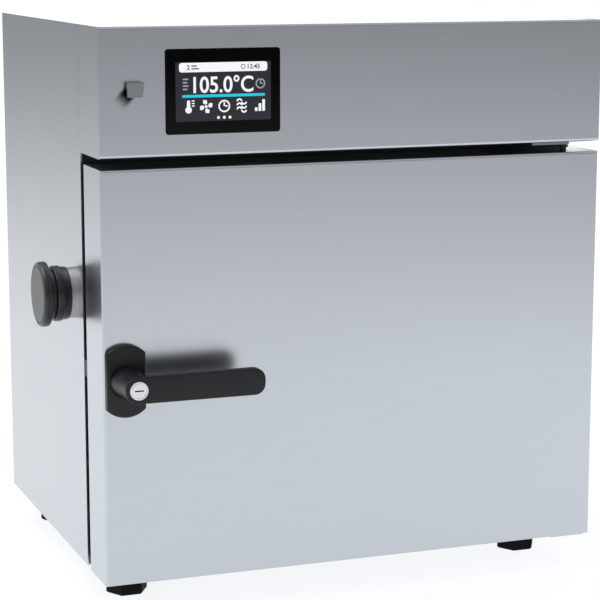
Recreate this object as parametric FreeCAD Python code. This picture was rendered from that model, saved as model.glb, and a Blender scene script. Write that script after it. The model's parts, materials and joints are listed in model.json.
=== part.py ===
import FreeCAD, Part
import math
import os

os.makedirs("parts", exist_ok=True)

V = FreeCAD.Vector

# Bench drying oven, in millimetres.
# While a piece is drawn, x is measured from the cabinet's middle plane, y from the door's front face
# towards the back, and z from the table. save() then moves it so that the origin is the middle of
# the whole oven's footprint, on the table.

# Cabinet
cabinet_width = 520.0
cabinet_depth = 403.0
case_height = 531.7
sheet = 1.5
flange_width = 14.0
head_seam = 0.4
head_lip_round = 3.0

# Feet: hexagonal, standing in from the edges
foot_height = 36.0
foot_side = 19.4
foot_inset_side = 42.8
foot_inset_back = 29.0
foot_y_front = 95.5
foot_chamfer = 1.0

# Door
door_height = 401.1
door_thickness = 60.0
door_drop = 1.2
gap_over_door = 10.1
seal_gap = 11.5
door_edge_round = 2.5
door_pressing_clear = 6.0
door_pressing_corner = 10.0
door_pressing_raise = 8.0
door_pressing_bevel = 4.0
door_wool_inset = 38.0

# Heated chamber
chamber_tall = 300.0
liner = 1.0
chamber_corner = 12.0
wool_side = 57.5
wool_rear = 28.0
rear_space = 28.0

# Door seal, fixed to the door's inner panel
seal_inset = 6.0
seal_width = 16.0
seal_bevel = 4.0
seal_clear = 0.3

# Hinges, on the right
hinge_from_side = 31.5
hinge_y = 16.0
hinge_pin_r = 3.0
hinge_bush_r = 5.5
hinge_bush_long = 16.0
running_fit = 0.05
press_fit = 0.02
pass_fit = 0.1
bracket_width = 16.0
bracket_thick = 2.5
bracket_front = 6.0
bracket_leg = 30.0
hinge_block = 22.0
pin_flange_r = 5.0
pin_flange_thick = 2.0
thrust_thick = 0.8
pin_end_clear = 2.0

# Handle: plate, lever, lock, spindle and cam
handle_from_side = 20.5
handle_above_door = 201.7
plate_width = 38.2
plate_tall = 70.0
plate_straight = 54.0
plate_thick = 8.0
plate_bevel = 1.5
lever_front = 50.0
lever_long = 124.0
lever_tall = 25.5
lever_thick = 14.0
lever_end_round = 10.5
lever_edge_bevel = 1.0
hub_base_r = 16.5
hub_front_r = 12.5
hub_neck_r = 8.0
hub_hole_clear = 0.5
lock_r = 8.8
lock_deep = 22.0
lock_proud = 0.8
lock_fit = 0.08
lock_end_gap = 0.5
key_slot_wide = 1.6
key_slot_long = 9.0
key_slot_deep = 6.0
spindle_r = 5.0
spindle_bush_r = 8.5
spindle_bush_deep = 10.0
cam_thick = 4.0
cam_hub_r = 9.0
cam_reach = 17.5
cam_wide = 10.0
cam_clear = 0.3
nut_across = 13.0
nut_thick = 2.6
keeper_tall = 16.0
keeper_sheet = 1.9
keeper_lap = 7.0
keeper_clear = 1.0
body_clear = 0.3

# Access port on the left side and its plug
port_y = 112.0
port_z = 302.4
port_tube_r = 25.0
port_tube_wall = 1.2
collar_r = 28.3
collar_long = 14.0
collar_stand = 6.5
collar_lip = 2.0
plug_reach = 35.0
plug_face_r = 29.0
plug_rim_r = 32.0
plug_rim = 11.5
plug_bevel = 3.0
plug_back_bevel = 2.0
plug_stem = 26.0
plug_stem_fit = 0.08

# Air damper: knob, rod, slide plate and exhaust duct
knob_x = -226.35
knob_z = 507.7
knob_wide = 16.3
knob_tall = 16.0
knob_thick = 7.0
knob_out = 9.0
knob_bevel = 1.5
knob_fold = 1.6
knob_crease_share = 0.4
knob_wall = 2.0
rod_r = 3.0
guide_r = 7.0
guide_long = 7.0
duct_x = -150.0
duct_y = 250.0
duct_r = 16.0
duct_wall = 1.2
duct_flange = 70.0
duct_lower_rise = 26.5
duct_upper_rise = 50.0
duct_spigot = 12.0
spigot_r = 17.0
slide_width = 46.0
slide_thick = 1.5
slide_travel = 32.0
slide_clear = 0.3
slide_hole_r = 14.0
slide_tail = 14.0
slide_front = 8.0
slide_side_clear = 1.0
post_wide = 12.0
post_thick = 3.0
rod_hole_clear = 1.0

# Display in the control head
display_x = -139.5
display_z = 505.15
display_width = 113.4
display_tall = 79.7
display_corner = 3.0
display_proud = 1.2
module_wide = 105.5
module_tall = 67.2
module_deep = 9.0
module_rim = 2.0
board_wide = 150.0
board_tall = 84.0
board_thick = 1.6
board_behind = 12.0
board_offset = 10.0
standoff_side = 3.2
standoff_inset = 5.0
chip_side = 14.0
chip_thick = 3.0
chip_count = 3

# Fan, heater and probes behind the air baffle
plenum = 31.0
baffle_sheet = 1.0
baffle_clear = 0.3
baffle_spokes = 16
baffle_spoke_wide = 6.0
baffle_eye_r = 16.0
baffle_grille_r = 50.0
baffle_slot_long = 26.0
baffle_slot_wide = 6.0
baffle_slot_rows = 7
baffle_slot_from_side = 22.0
impeller_r = 68.0
impeller_eye_r = 34.0
impeller_deep = 17.0
impeller_sheet = 1.5
impeller_blades = 12
impeller_hub_r = 9.0
impeller_back_gap = 6.0
blade_thick = 1.2
blade_sweep = 35.0
blade_long = 32.0
shaft_r = 4.0
shaft_room = 2.0
shaft_nut_side = 6.5
shaft_nut_thick = 2.5
shaft_proud = 3.0
shaft_in_bell = 3.0
shaft_end_gap = 1.0
window_margin = 9.0
motor_r = 24.0
motor_stack = 66.0
motor_step = 4.0
motor_base = 3.0
motor_bell = 8.0
motor_long = 26.0
heater_ring_r = 86.0
heater_tube_r = 3.25
heater_bend_r = 9.0
heater_gap_angle = 24.0
heater_behind = 12.0
heater_tail = 12.0
heater_steps = 28
probe_r = 2.0
probe_x = 120.0
probe_pitch = 22.0
probe_below_roof = 30.0
probe_reach = 24.0
probe_tail = 14.0

# Shelves on their side runners
runner_from_floor = 30.0
runner_pitch = 50.0
runner_count = 4
lower_shelf_runner_number = 1
upper_shelf_runner_number = 3
runner_width = 10.0
runner_sheet = 1.2
upright_width = 12.0
upright_sheet = 1.2
upright_inset = 76.0
upright_end = 16.0
runner_back = 9.0
runner_end_gap = 4.0
shelf_side_clear = 2.5
shelf_front_gap = 6.0
shelf_back_gap = 8.0
shelf_rim_r = 3.0
shelf_wire_r = 1.5
shelf_wires = 14
shelf_rest_gap = 0.1

# Rear: cover, louvres, inlet and switch
louvre_count = 7
louvre_pitch = 9.0
louvre_long = 46.0
louvre_wide = 3.0
louvre_x = 20.0
inlet_x = 150.0
inlet_z = 505.0
inlet_plate_wide = 50.0
inlet_plate_tall = 24.0
inlet_plate_thick = 2.5
inlet_body_wide = 28.0
inlet_body_tall = 20.5
inlet_body_deep = 22.0
inlet_mouth_wide = 24.6
inlet_mouth_tall = 17.0
inlet_mouth_deep = 16.0
inlet_pin_long = 9.5
inlet_pin_wide = 2.0
inlet_pin_tall = 4.0
inlet_pin_places = ((-7.0, -2.0), (7.0, -2.0), (0.0, 2.0))
inlet_corner = 5.0
inlet_mouth_corner = 4.0
switch_x = 205.0
switch_frame_wide = 30.0
switch_frame_tall = 22.0
switch_body_wide = 26.0
switch_body_tall = 18.0
switch_body_deep = 16.0
rocker_wide = 20.0
rocker_tall = 14.0
rocker_r = 12.0
rocker_proud = 4.0
rocker_clear = 0.4
rocker_swing_room = 2.5
rocker_tilt = 12.0
rocker_end_room = 1.0
rocker_back = 2.0
rocker_room_back = 5.0
switch_corner = 2.0
axle_r = 1.0
axle_out = 1.3
axle_hole_out = 1.5

# Control electronics above the chamber
supply_wide = 98.0
supply_deep = 60.0
supply_tall = 38.0
supply_x = 60.0
supply_y = 150.0
supply_slots = 6
supply_slot_inset = 12.0
supply_slot_pitch = 14.0
supply_slot_wide = 4.0
supply_slot_margin = 8.0
supply_slot_deep = 2.0
relay_x = 190.0
relay_y = 150.0
sink_wide = 80.0
sink_deep = 58.0
sink_base = 5.0
sink_tall = 32.0
sink_fins = 8
sink_fin = 1.8
sink_fin_long = 18.0
relay_wide = 36.0
relay_deep = 58.0
relay_tall = 22.0
relay_from_fins = 1.0
terminal_x = 60.0
terminal_y = 260.0
terminal_ways = 10
terminal_pitch = 9.0
terminal_deep = 24.0
terminal_tall = 20.0
terminal_slit = 1.6
terminal_slit_deep = 7.0
terminal_slit_low = 8.0

# Places that follow from the sizes above
half = cabinet_width / 2
case_bottom = foot_height - sheet
case_top = case_bottom + case_height
door_bottom = case_bottom - door_drop
door_top = door_bottom + door_height
head_bottom = door_top + gap_over_door
frame_y = door_thickness + seal_gap
pan_top = foot_height + sheet
inner_half = half - sheet
cover_y = cabinet_depth - sheet
divider_z = head_bottom - sheet
chamber_half = inner_half - wool_side - liner
chamber_floor = door_bottom + (door_height - chamber_tall) / 2
chamber_roof = chamber_floor + chamber_tall
wool_front = frame_y + sheet
bulkhead_y = cover_y - rear_space - sheet
wool_back = bulkhead_y
chamber_back = wool_back - wool_rear - liner
hinge_x = half - hinge_from_side
handle_x = -half + handle_from_side
handle_z = door_bottom + handle_above_door
fan_z = chamber_floor + chamber_tall / 2
probe_z = chamber_roof - probe_below_roof
baffle_y = chamber_back - plenum
duct_lower_top = head_bottom + duct_lower_rise
origin_x = -plug_reach / 2
origin_y = (cabinet_depth + duct_spigot - lever_front - lock_proud) / 2


def save(shape, name):
    moved = shape.copy()
    moved.translate(V(-origin_x, -origin_y, 0))
    moved.exportStep("parts/" + name + ".step")


def box(x0, x1, y0, y1, z0, z1):
    return Part.makeBox(x1 - x0, y1 - y0, z1 - z0, V(x0, y0, z0))


def rod_y(r, x, z, y0, y1):
    return Part.makeCylinder(r, y1 - y0, V(x, y0, z), V(0, 1, 0))


def rod_x(r, y, z, x0, x1):
    return Part.makeCylinder(r, x1 - x0, V(x0, y, z), V(1, 0, 0))


def rod_z(r, x, y, z0, z1):
    return Part.makeCylinder(r, z1 - z0, V(x, y, z0), V(0, 0, 1))


def fuse(shapes):
    whole = shapes[0]
    if len(shapes) > 1:
        whole = whole.multiFuse(shapes[1:])
    return whole.removeSplitter()


def rounded_box_y(x0, x1, y0, y1, z0, z1, r):
    block = box(x0, x1, y0, y1, z0, z1)
    along = [e for e in block.Edges if e.BoundBox.YLength > (y1 - y0) * 0.99]
    return block.makeFillet(r, along)


def front_outline_edges(shape, y):
    return [e for e in shape.Edges if e.BoundBox.YLength < 0.01 and abs(e.BoundBox.YMin - y) < 0.01]


def hexagon_prism(side, x, y, z0, z1):
    points = []
    for k in range(7):
        a = math.radians(60 * k)
        points.append(V(x + side * math.cos(a), y + side * math.sin(a), z0))
    return Part.Face(Part.makePolygon(points)).extrude(V(0, 0, z1 - z0))


def mirror_x(shape):
    return shape.mirror(V(0, 0, 0), V(1, 0, 0))


# Cabinet shell

def side_panel():
    wall = box(inner_half, half, frame_y, cover_y, case_bottom, case_top - sheet)
    inward = half - flange_width
    top_flange = box(inward, half, frame_y, cover_y, case_top - 2 * sheet, case_top - sheet)
    low_flange = box(inward, half, frame_y + sheet, cover_y, case_bottom, foot_height)
    rear_flange = box(inward, half, cover_y - sheet, cover_y, case_bottom, case_top - sheet)
    return fuse([wall, top_flange, low_flange, rear_flange])


def side_panel_left():
    panel = mirror_x(side_panel())
    return panel.cut(rod_x(port_tube_r + pass_fit, port_y, port_z, -half - 1, -inner_half + 1))


def top_panel():
    panel = box(-half, half, frame_y, cabinet_depth, case_top - sheet, case_top)
    return panel


def bottom_pan():
    return box(-inner_half, inner_half, frame_y + sheet, cover_y - sheet, foot_height, pan_top)


def front_frame():
    plate = box(-inner_half, inner_half, frame_y, wool_front, foot_height, head_bottom)
    mouth = rounded_box_y(-chamber_half, chamber_half, frame_y - 1, wool_front + 1,
                          chamber_floor, chamber_roof, chamber_corner)
    return plate.cut(mouth)


def divider_plate():
    plate = box(-inner_half, inner_half, wool_front, cover_y - sheet, divider_z, head_bottom)
    return plate.cut(rod_z(duct_r + pass_fit, duct_x, duct_y, divider_z - 1, head_bottom + 1))


def rear_bulkhead():
    plate = box(-inner_half, inner_half, bulkhead_y, bulkhead_y + sheet, pan_top, divider_z)
    return plate.cut(rear_windows(bulkhead_y - 1, bulkhead_y + sheet + 1))


def rear_cover():
    plate = box(-half, half, cover_y, cabinet_depth, case_bottom, case_top - sheet)
    cuts = [rod_y(duct_r + pass_fit, duct_x, duct_outlet_z(), cover_y - 1, cabinet_depth + 1)]
    cuts.append(box(inlet_x - inlet_body_wide / 2, inlet_x + inlet_body_wide / 2, cover_y - 1,
                    cabinet_depth + 1, inlet_z - inlet_body_tall / 2, inlet_z + inlet_body_tall / 2))
    cuts.append(box(switch_x - switch_body_wide / 2, switch_x + switch_body_wide / 2, cover_y - 1,
                    cabinet_depth + 1, inlet_z - switch_body_tall / 2, inlet_z + switch_body_tall / 2))
    for k in range(louvre_count):
        z = inlet_z + (k - (louvre_count - 1) / 2) * louvre_pitch
        cuts.append(box(louvre_x - louvre_long / 2, louvre_x + louvre_long / 2, cover_y - 1,
                        cabinet_depth + 1, z - louvre_wide / 2, z + louvre_wide / 2))
    return plate.cut(cuts)


# Control head, in front of the case and over the door

def head_housing():
    back = frame_y - head_seam
    outer = box(-half, half, 0, back, head_bottom, case_top)
    lip = [e for e in front_outline_edges(outer, 0) if e.BoundBox.ZMax < head_bottom + sheet]
    outer = outer.makeFillet(head_lip_round, lip)
    top = [e for e in front_outline_edges(outer, 0) if e.BoundBox.ZMin > case_top - sheet]
    outer = outer.makeFillet(door_edge_round, top)
    inner = box(-inner_half, inner_half, sheet, back + 1, head_bottom + sheet, case_top - sheet)
    window = box(display_x - module_wide / 2, display_x + module_wide / 2, -1, sheet + 1,
                 display_z - module_tall / 2, display_z + module_tall / 2)
    rod_hole = rod_y(rod_r + rod_hole_clear, knob_x, knob_z, -1, sheet + 1)
    pin_hole = rod_z(hinge_pin_r + pass_fit, hinge_x, hinge_y, head_bottom - 1, head_bottom + sheet + 1)
    return outer.cut([inner, window, rod_hole, pin_hole])


def display_bezel():
    x0 = display_x - display_width / 2
    z0 = display_z - display_tall / 2
    return rounded_box_y(x0, x0 + display_width, -display_proud, 0, z0, z0 + display_tall, display_corner)


def display_module():
    x0 = display_x - module_wide / 2
    z0 = display_z - module_tall / 2
    x1 = x0 + module_wide
    z1 = z0 + module_tall
    glass = box(x0 + pass_fit, x1 - pass_fit, 0, sheet, z0 + pass_fit, z1 - pass_fit)
    can = box(x0 - module_rim, x1 + module_rim, sheet, sheet + module_deep, z0 - module_rim, z1 + module_rim)
    return fuse([glass, can])


def control_board():
    x0 = display_x - board_wide / 2 + board_offset
    z0 = display_z - board_tall / 2
    y0 = sheet + module_deep + board_behind
    parts = [box(x0, x0 + board_wide, y0, y0 + board_thick, z0, z0 + board_tall)]
    for x in (x0 + standoff_inset, x0 + board_wide - standoff_inset):
        for z in (z0 + standoff_inset, z0 + board_tall - standoff_inset):
            parts.append(hexagon_prism_y(standoff_side, sheet, y0, x, z))
    front = y0 + board_thick
    low = display_z - chip_side / 2
    for k in range(chip_count):
        x = x0 + board_wide * (k + 1) / (chip_count + 1) - chip_side / 2
        parts.append(box(x, x + chip_side, front, front + chip_thick, low, low + chip_side))
    return fuse(parts)


# Heated chamber and its insulation

def inner_chamber():
    outer = rounded_box_y(-chamber_half - liner, chamber_half + liner, wool_front,
                          chamber_back + liner, chamber_floor - liner, chamber_roof + liner,
                          chamber_corner + liner)
    inner = rounded_box_y(-chamber_half, chamber_half, wool_front - 1, chamber_back,
                          chamber_floor, chamber_roof, chamber_corner)
    port = rod_x(port_tube_r + pass_fit, port_y, port_z, -chamber_half - liner - 1, -chamber_half + 1)
    vent = rod_z(duct_r + pass_fit, duct_x, duct_y, chamber_roof - 1, chamber_roof + liner + 1)
    passes = rear_pass_throughs(chamber_back - 1, chamber_back + liner + 1)
    return outer.cut([inner, port, vent, passes])


def rear_pass_throughs(y0, y1):
    holes = [rod_y(shaft_r + shaft_room, 0, fan_z, y0, y1)]
    for x in heater_leg_places():
        holes.append(rod_y(heater_tube_r + pass_fit, x, heater_leg_z(), y0, y1))
    for x in probe_places():
        holes.append(rod_y(probe_r + pass_fit, x, probe_z, y0, y1))
    return Part.makeCompound(holes)


def rear_windows(y0, y1):
    leg = heater_leg_places()[1] + window_margin
    probes = probe_places()
    return Part.makeCompound([
        rod_y(shaft_r + shaft_room, 0, fan_z, y0, y1),
        box(-leg, leg, y0, y1, heater_leg_z() - window_margin, heater_leg_z() + window_margin),
        box(probes[0] - window_margin, probes[1] + window_margin, y0, y1,
            probe_z - window_margin, probe_z + window_margin)])


def insulation_left():
    slab = box(-inner_half, -chamber_half - liner, wool_front, wool_back, pan_top, divider_z)
    return slab.cut(rod_x(port_tube_r + pass_fit, port_y, port_z, -half, -chamber_half))


def insulation_right():
    return box(chamber_half + liner, inner_half, wool_front, wool_back, pan_top, divider_z)


def insulation_top():
    wide = chamber_half + liner
    slab = box(-wide, wide, wool_front, wool_back, chamber_roof + liner, divider_z)
    return slab.cut(rod_z(duct_r + pass_fit, duct_x, duct_y, chamber_roof, divider_z + 1))


def insulation_bottom():
    wide = chamber_half + liner
    return box(-wide, wide, wool_front, wool_back, pan_top, chamber_floor - liner)


def insulation_rear():
    wide = chamber_half + liner
    slab = box(-wide, wide, chamber_back + liner, wool_back, chamber_floor - liner, chamber_roof + liner)
    return slab.cut(rear_windows(chamber_back, wool_back + 1))


def seal_ring(grow):
    return rounded_box_y(-chamber_half - grow, chamber_half + grow, door_thickness, frame_y - seal_clear,
                         chamber_floor - grow, chamber_roof + grow, chamber_corner + grow)


def door_seal():
    outer = seal_ring(seal_inset + seal_width)
    inner = seal_ring(seal_inset)
    ring = outer.cut(inner)
    nose = front_outline_edges(ring, frame_y - seal_clear)
    return ring.makeChamfer(seal_bevel, nose)


# Air baffle, fan and heater

def baffle_window(k):
    half_pitch = math.pi / baffle_spokes
    middle = 2 * half_pitch * k
    corners = []
    for r, side in ((baffle_eye_r, -1), (baffle_grille_r, -1), (baffle_grille_r, 1), (baffle_eye_r, 1)):
        a = middle + side * (half_pitch - math.asin(baffle_spoke_wide / 2 / r))
        corners.append(V(r * math.sin(a), baffle_y - 1, fan_z + r * math.cos(a)))
    return Part.Face(Part.makePolygon(corners + [corners[0]])).extrude(V(0, baffle_sheet + 2, 0))


def air_baffle():
    half_wide = chamber_half - baffle_clear
    low = chamber_floor + baffle_clear
    high = chamber_roof - baffle_clear
    face = rounded_box_y(-half_wide, half_wide, baffle_y, baffle_y + baffle_sheet, low, high, chamber_corner)
    cuts = [baffle_window(k) for k in range(baffle_spokes)]
    pitch = (chamber_tall - 2 * baffle_slot_from_side) / baffle_slot_rows
    for side in (-1, 1):
        x = side * (half_wide - baffle_slot_from_side - baffle_slot_long / 2)
        for k in range(baffle_slot_rows):
            z = low + baffle_slot_from_side + pitch * (k + 0.5)
            cuts.append(box(x - baffle_slot_long / 2, x + baffle_slot_long / 2, baffle_y - 1,
                            baffle_y + baffle_sheet + 1, z - baffle_slot_wide / 2, z + baffle_slot_wide / 2))
    probes = probe_places()
    cuts.append(box(probes[0] - baffle_slot_wide / 2, probes[1] + baffle_slot_wide / 2,
                    baffle_y - 1, baffle_y + baffle_sheet + 1,
                    probe_z - baffle_slot_wide / 2, probe_z + baffle_slot_wide / 2))
    parts = [face.cut(cuts)]
    for side in (-1, 1):
        x0 = side * half_wide
        x1 = side * (half_wide - baffle_sheet)
        parts.append(box(min(x0, x1), max(x0, x1), baffle_y, chamber_back,
                         low + chamber_corner, high - chamber_corner))
    return fuse(parts)


def blade(angle):
    back = chamber_back - impeller_back_gap
    flat = box(-blade_long / 2, blade_long / 2, back - impeller_deep, back - impeller_sheet,
               -blade_thick / 2, blade_thick / 2)
    flat.rotate(V(0, 0, 0), V(0, 1, 0), blade_sweep)
    flat.translate(V(impeller_eye_r + blade_long / 2, 0, 0))
    flat.rotate(V(0, 0, 0), V(0, 1, 0), angle)
    flat.translate(V(0, 0, fan_z))
    return flat


def fan_impeller():
    back = chamber_back - impeller_back_gap
    plate = rod_y(impeller_r, 0, fan_z, back - impeller_sheet, back)
    hub = rod_y(impeller_hub_r, 0, fan_z, back - impeller_deep, back)
    parts = [plate, hub]
    for k in range(impeller_blades):
        parts.append(blade(360.0 * k / impeller_blades))
    bore = rod_y(shaft_r + press_fit, 0, fan_z, back - impeller_deep - 1, back + 1)
    return fuse(parts).cut(bore)


def fan_shaft():
    front = chamber_back - impeller_back_gap - impeller_deep - shaft_proud
    back = bulkhead_y + sheet + motor_long - motor_bell + shaft_in_bell
    rod = rod_y(shaft_r, 0, fan_z, front, back)
    nut = hexagon_prism_y(shaft_nut_side, front, front + shaft_nut_thick, 0, fan_z)
    return fuse([rod, nut])


def hexagon_prism_y(side, y0, y1, x, z):
    points = []
    for k in range(7):
        a = math.radians(60 * k)
        points.append(V(x + side * math.cos(a), y0, z + side * math.sin(a)))
    return Part.Face(Part.makePolygon(points)).extrude(V(0, y1 - y0, 0))


def fan_motor():
    y0 = bulkhead_y + sheet
    s = motor_stack / 2
    base = box(-s, s, y0, y0 + motor_base, fan_z - s, fan_z + s)
    stack = box(-s + motor_step, s - motor_step, y0 + motor_base, y0 + motor_long - motor_bell,
                fan_z - s + motor_step, fan_z + s - motor_step)
    bell = hexagon_prism_y(motor_r, y0 + motor_long - motor_bell, y0 + motor_long, 0, fan_z)
    bore = rod_y(shaft_r + running_fit, 0, fan_z, y0 - 1,
                 y0 + motor_long - motor_bell + shaft_in_bell + shaft_end_gap)
    return fuse([base, stack, bell]).cut(bore)


def heater_leg_places():
    a = math.radians(90 - heater_gap_angle / 2)
    out = heater_ring_r * math.cos(a) - heater_bend_r * math.sin(a)
    return (-out, out)


def heater_leg_z():
    a = math.radians(90 - heater_gap_angle / 2)
    return fan_z + heater_ring_r * math.sin(a) + heater_bend_r * math.cos(a)


def ring_heater():
    y = chamber_back - heater_behind - heater_bend_r
    start = math.radians(90 - heater_gap_angle / 2)
    sweep = 2 * math.pi - math.radians(heater_gap_angle)
    toward_back = V(0, 1, 0)
    stations = []
    for k in range(heater_steps + 1):
        a = start - sweep * k / heater_steps
        radial = V(math.cos(a), 0, math.sin(a))
        along = V(math.sin(a), 0, -math.cos(a))
        centre = V(0, y, fan_z) + radial * heater_ring_r
        stations.append((centre, along, radial))
    first, last = stations[0], stations[-1]
    tail_y = bulkhead_y + sheet + heater_tail
    leg_in = [bend_station(first, -1, toward_back, 45), bend_station(first, -1, toward_back, 90)]
    leg_out = [bend_station(last, 1, toward_back, 45), bend_station(last, 1, toward_back, 90)]
    stations = [end_station(leg_in[1], tail_y), leg_in[1], leg_in[0]] + stations
    stations += [leg_out[0], leg_out[1], end_station(leg_out[1], tail_y)]
    rings = [heater_section(*station) for station in stations]
    return Part.makeLoft(rings, True, True)


def bend_station(station, way, toward_back, degrees):
    centre, along, radial = station
    a = math.radians(degrees)
    out = along * way
    place = centre + out * (heater_bend_r * math.sin(a))
    place += toward_back * (heater_bend_r * (1 - math.cos(a)))
    return (place, (out * math.cos(a) + toward_back * math.sin(a)) * way, radial)


def end_station(station, y):
    centre, along, radial = station
    return (V(centre.x, y, centre.z), along, radial)


def heater_section(centre, along, radial):
    side = along.cross(radial)
    points = []
    for k in range(7):
        a = math.radians(60 * k)
        spoke = radial * math.cos(a) + side * math.sin(a)
        points.append(centre + spoke * heater_tube_r)
    return Part.makePolygon(points)


def chamber_probes():
    probes = []
    for x in probe_places():
        rod = rod_y(probe_r, x, probe_z, baffle_y - probe_reach, bulkhead_y + sheet + probe_tail)
        probes.append(rod)
    return Part.makeCompound(probes)


def probe_places():
    return (probe_x, probe_x + probe_pitch)


# Shelves and runners

def runner_rack():
    x1 = chamber_half
    parts = []
    y_front = frame_y + shelf_front_gap
    y_back = baffle_y - runner_end_gap
    for y in (y_front + upright_inset, y_back - upright_inset):
        parts.append(box(x1 - upright_sheet, x1, y - upright_width / 2, y + upright_width / 2,
                         runner_z(0) - upright_end, runner_z(runner_count - 1) + upright_end))
    for k in range(runner_count):
        z = runner_z(k)
        ledge = box(x1 - upright_sheet - runner_width, x1 - upright_sheet, y_front, y_back,
                    z - runner_sheet, z)
        back = box(x1 - upright_sheet - runner_sheet, x1 - upright_sheet, y_front, y_back,
                   z - runner_sheet, z + runner_back)
        parts += [ledge, back]
    return fuse(parts)


def runner_z(k):
    return chamber_floor + runner_from_floor + runner_pitch * k


def wire_shelf(level):
    rim = 2 * shelf_rim_r
    side = chamber_half - upright_sheet - runner_sheet - shelf_side_clear
    z0 = level + shelf_rest_gap
    y0 = frame_y + shelf_front_gap
    y1 = baffle_y - shelf_back_gap
    frame = box(-side, side, y0, y1, z0, z0 + rim)
    parts = [frame.cut(box(-side + rim, side - rim, y0 + rim, y1 - rim, z0 - 1, z0 + rim + 1))]
    wire = 2 * shelf_wire_r
    middle = z0 + shelf_rim_r
    span = 2 * (side - rim)
    for k in range(shelf_wires):
        x = -span / 2 + span * (k + 0.5) / shelf_wires
        parts.append(box(x - wire / 2, x + wire / 2, y0 + rim, y1 - rim, middle, middle + wire))
    for share in (1, 2):
        y = y0 + (y1 - y0) * share / 3
        parts.append(box(-side + rim, side - rim, y - wire / 2, y + wire / 2, middle - wire, middle))
    return fuse(parts)


# Exhaust duct and its damper

def duct_outlet_z():
    return duct_upper_bottom() + duct_upper_rise


def duct_upper_bottom():
    return duct_lower_top + slide_thick + 2 * slide_clear


def duct_lower():
    tube = rod_z(duct_r, duct_x, duct_y, chamber_roof, duct_lower_top)
    f = duct_flange / 2
    flange = box(duct_x - f, duct_x + f, duct_y - f, duct_y + f, duct_lower_top - sheet, duct_lower_top)
    bore = rod_z(duct_r - duct_wall, duct_x, duct_y, chamber_roof - 1, duct_lower_top + 1)
    return fuse([tube, flange]).cut(bore)


def duct_path(r):
    corner = V(duct_x, duct_y, duct_outlet_z())
    foot = V(duct_x, duct_y, duct_upper_bottom())
    end = V(duct_x, cabinet_depth + duct_spigot, duct_outlet_z())
    path = Part.makePolygon([foot, corner, end])
    ring = Part.Wire(Part.makeCircle(r, foot, V(0, 0, 1)))
    return path.makePipeShell([ring], True, False, 1)


def duct_upper():
    z0 = duct_upper_bottom()
    f = duct_flange / 2
    legs = slide_width / 2 + slide_side_clear
    flange = box(duct_x - f, duct_x + f, duct_y - f, duct_y + f, z0, z0 + sheet)
    left = box(duct_x - f, duct_x - legs, duct_y - f, duct_y + f, duct_lower_top, z0)
    right = box(duct_x + legs, duct_x + f, duct_y - f, duct_y + f, duct_lower_top, z0)
    spigot = rod_y(spigot_r, duct_x, duct_outlet_z(), cabinet_depth, cabinet_depth + duct_spigot)
    return fuse([duct_path(duct_r), spigot, flange, left, right]).cut(duct_path(duct_r - duct_wall))


def damper_slide():
    z0 = duct_lower_top + slide_clear
    w = slide_width / 2
    front = duct_y - duct_r - slide_front
    tail = duct_y + duct_flange / 2 + slide_travel + slide_tail
    plate = box(duct_x - w, duct_x + w, front, tail, z0, z0 + slide_thick)
    hole = rod_z(slide_hole_r, duct_x, duct_y + slide_travel, z0 - 1, z0 + slide_thick + 1)
    post_half = post_wide / 2
    tab = box(knob_x - post_half, duct_x + w, tail - slide_tail, tail, z0, z0 + slide_thick)
    post = box(knob_x - post_half, knob_x + post_half, tail - post_thick, tail, z0, knob_z + post_half)
    rod = rod_y(rod_r, knob_x, knob_z, -knob_out + knob_wall, tail)
    return fuse([plate.cut(hole), tab, post, rod])


def damper_knob():
    w = knob_wide / 2
    t = knob_tall / 2
    front = -knob_out
    crease = w - knob_wide * knob_crease_share
    outline = [(-w, front + knob_thick), (-w, front + knob_fold), (crease, front),
               (w, front + knob_fold * knob_crease_share), (w, front + knob_thick)]
    points = [V(knob_x + x, y, knob_z - t) for x, y in outline]
    block = Part.Face(Part.makePolygon(points + [points[0]])).extrude(V(0, 0, knob_tall))
    sides = [e for e in block.Edges if e.BoundBox.YLength > knob_thick / 2]
    block = block.makeChamfer(knob_bevel, sides)
    bore = rod_y(rod_r, knob_x, knob_z, -knob_out + knob_wall, 1)
    return block.cut(bore)


def damper_guide():
    bush = rod_y(guide_r, knob_x, knob_z, sheet, sheet + guide_long)
    return bush.cut(rod_y(rod_r + running_fit, knob_x, knob_z, 0, sheet + guide_long + 1))


# Access port

def port_tube():
    r = port_tube_r
    x0 = -half - collar_long + collar_lip
    tube = rod_x(r, port_y, port_z, x0, -chamber_half)
    return tube.cut(rod_x(r - port_tube_wall, port_y, port_z, x0 - 1, -chamber_half + 1))


def port_collar():
    x0 = -half - collar_long
    ring = rod_x(collar_r, port_y, port_z, x0, -half - collar_stand)
    return ring.cut(rod_x(port_tube_r + press_fit, port_y, port_z, x0 - 1, -half))


def port_plug():
    stem_r = port_tube_r - port_tube_wall - plug_stem_fit
    rim = plug_reach - plug_rim
    end = collar_long - plug_stem
    outline = [(0, plug_reach), (plug_face_r, plug_reach), (plug_rim_r, plug_reach - plug_bevel),
               (plug_rim_r, rim + plug_back_bevel), (plug_rim_r - plug_back_bevel, rim),
               (stem_r, rim), (stem_r, end), (0, end)]
    points = [V(-half - out, port_y + r, port_z) for r, out in outline]
    face = Part.Face(Part.makePolygon(points + [points[0]]))
    return face.revolve(V(0, port_y, port_z), V(1, 0, 0), 360)


# Door

def door_skin():
    outer = box(-half, half, 0, door_thickness - sheet, door_bottom, door_top)
    outer = outer.makeFillet(door_edge_round, front_outline_edges(outer, 0))
    inner = box(-inner_half, inner_half, sheet, door_thickness, door_bottom + sheet, door_top - sheet)
    spindle_hole = rod_y(hub_neck_r + hub_hole_clear, handle_x, handle_z, -1, sheet + 1)
    bush_holes = rod_z(hinge_bush_r + pass_fit, hinge_x, hinge_y, door_bottom - 1, door_top + 1)
    return outer.cut([inner, spindle_hole, bush_holes])


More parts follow.
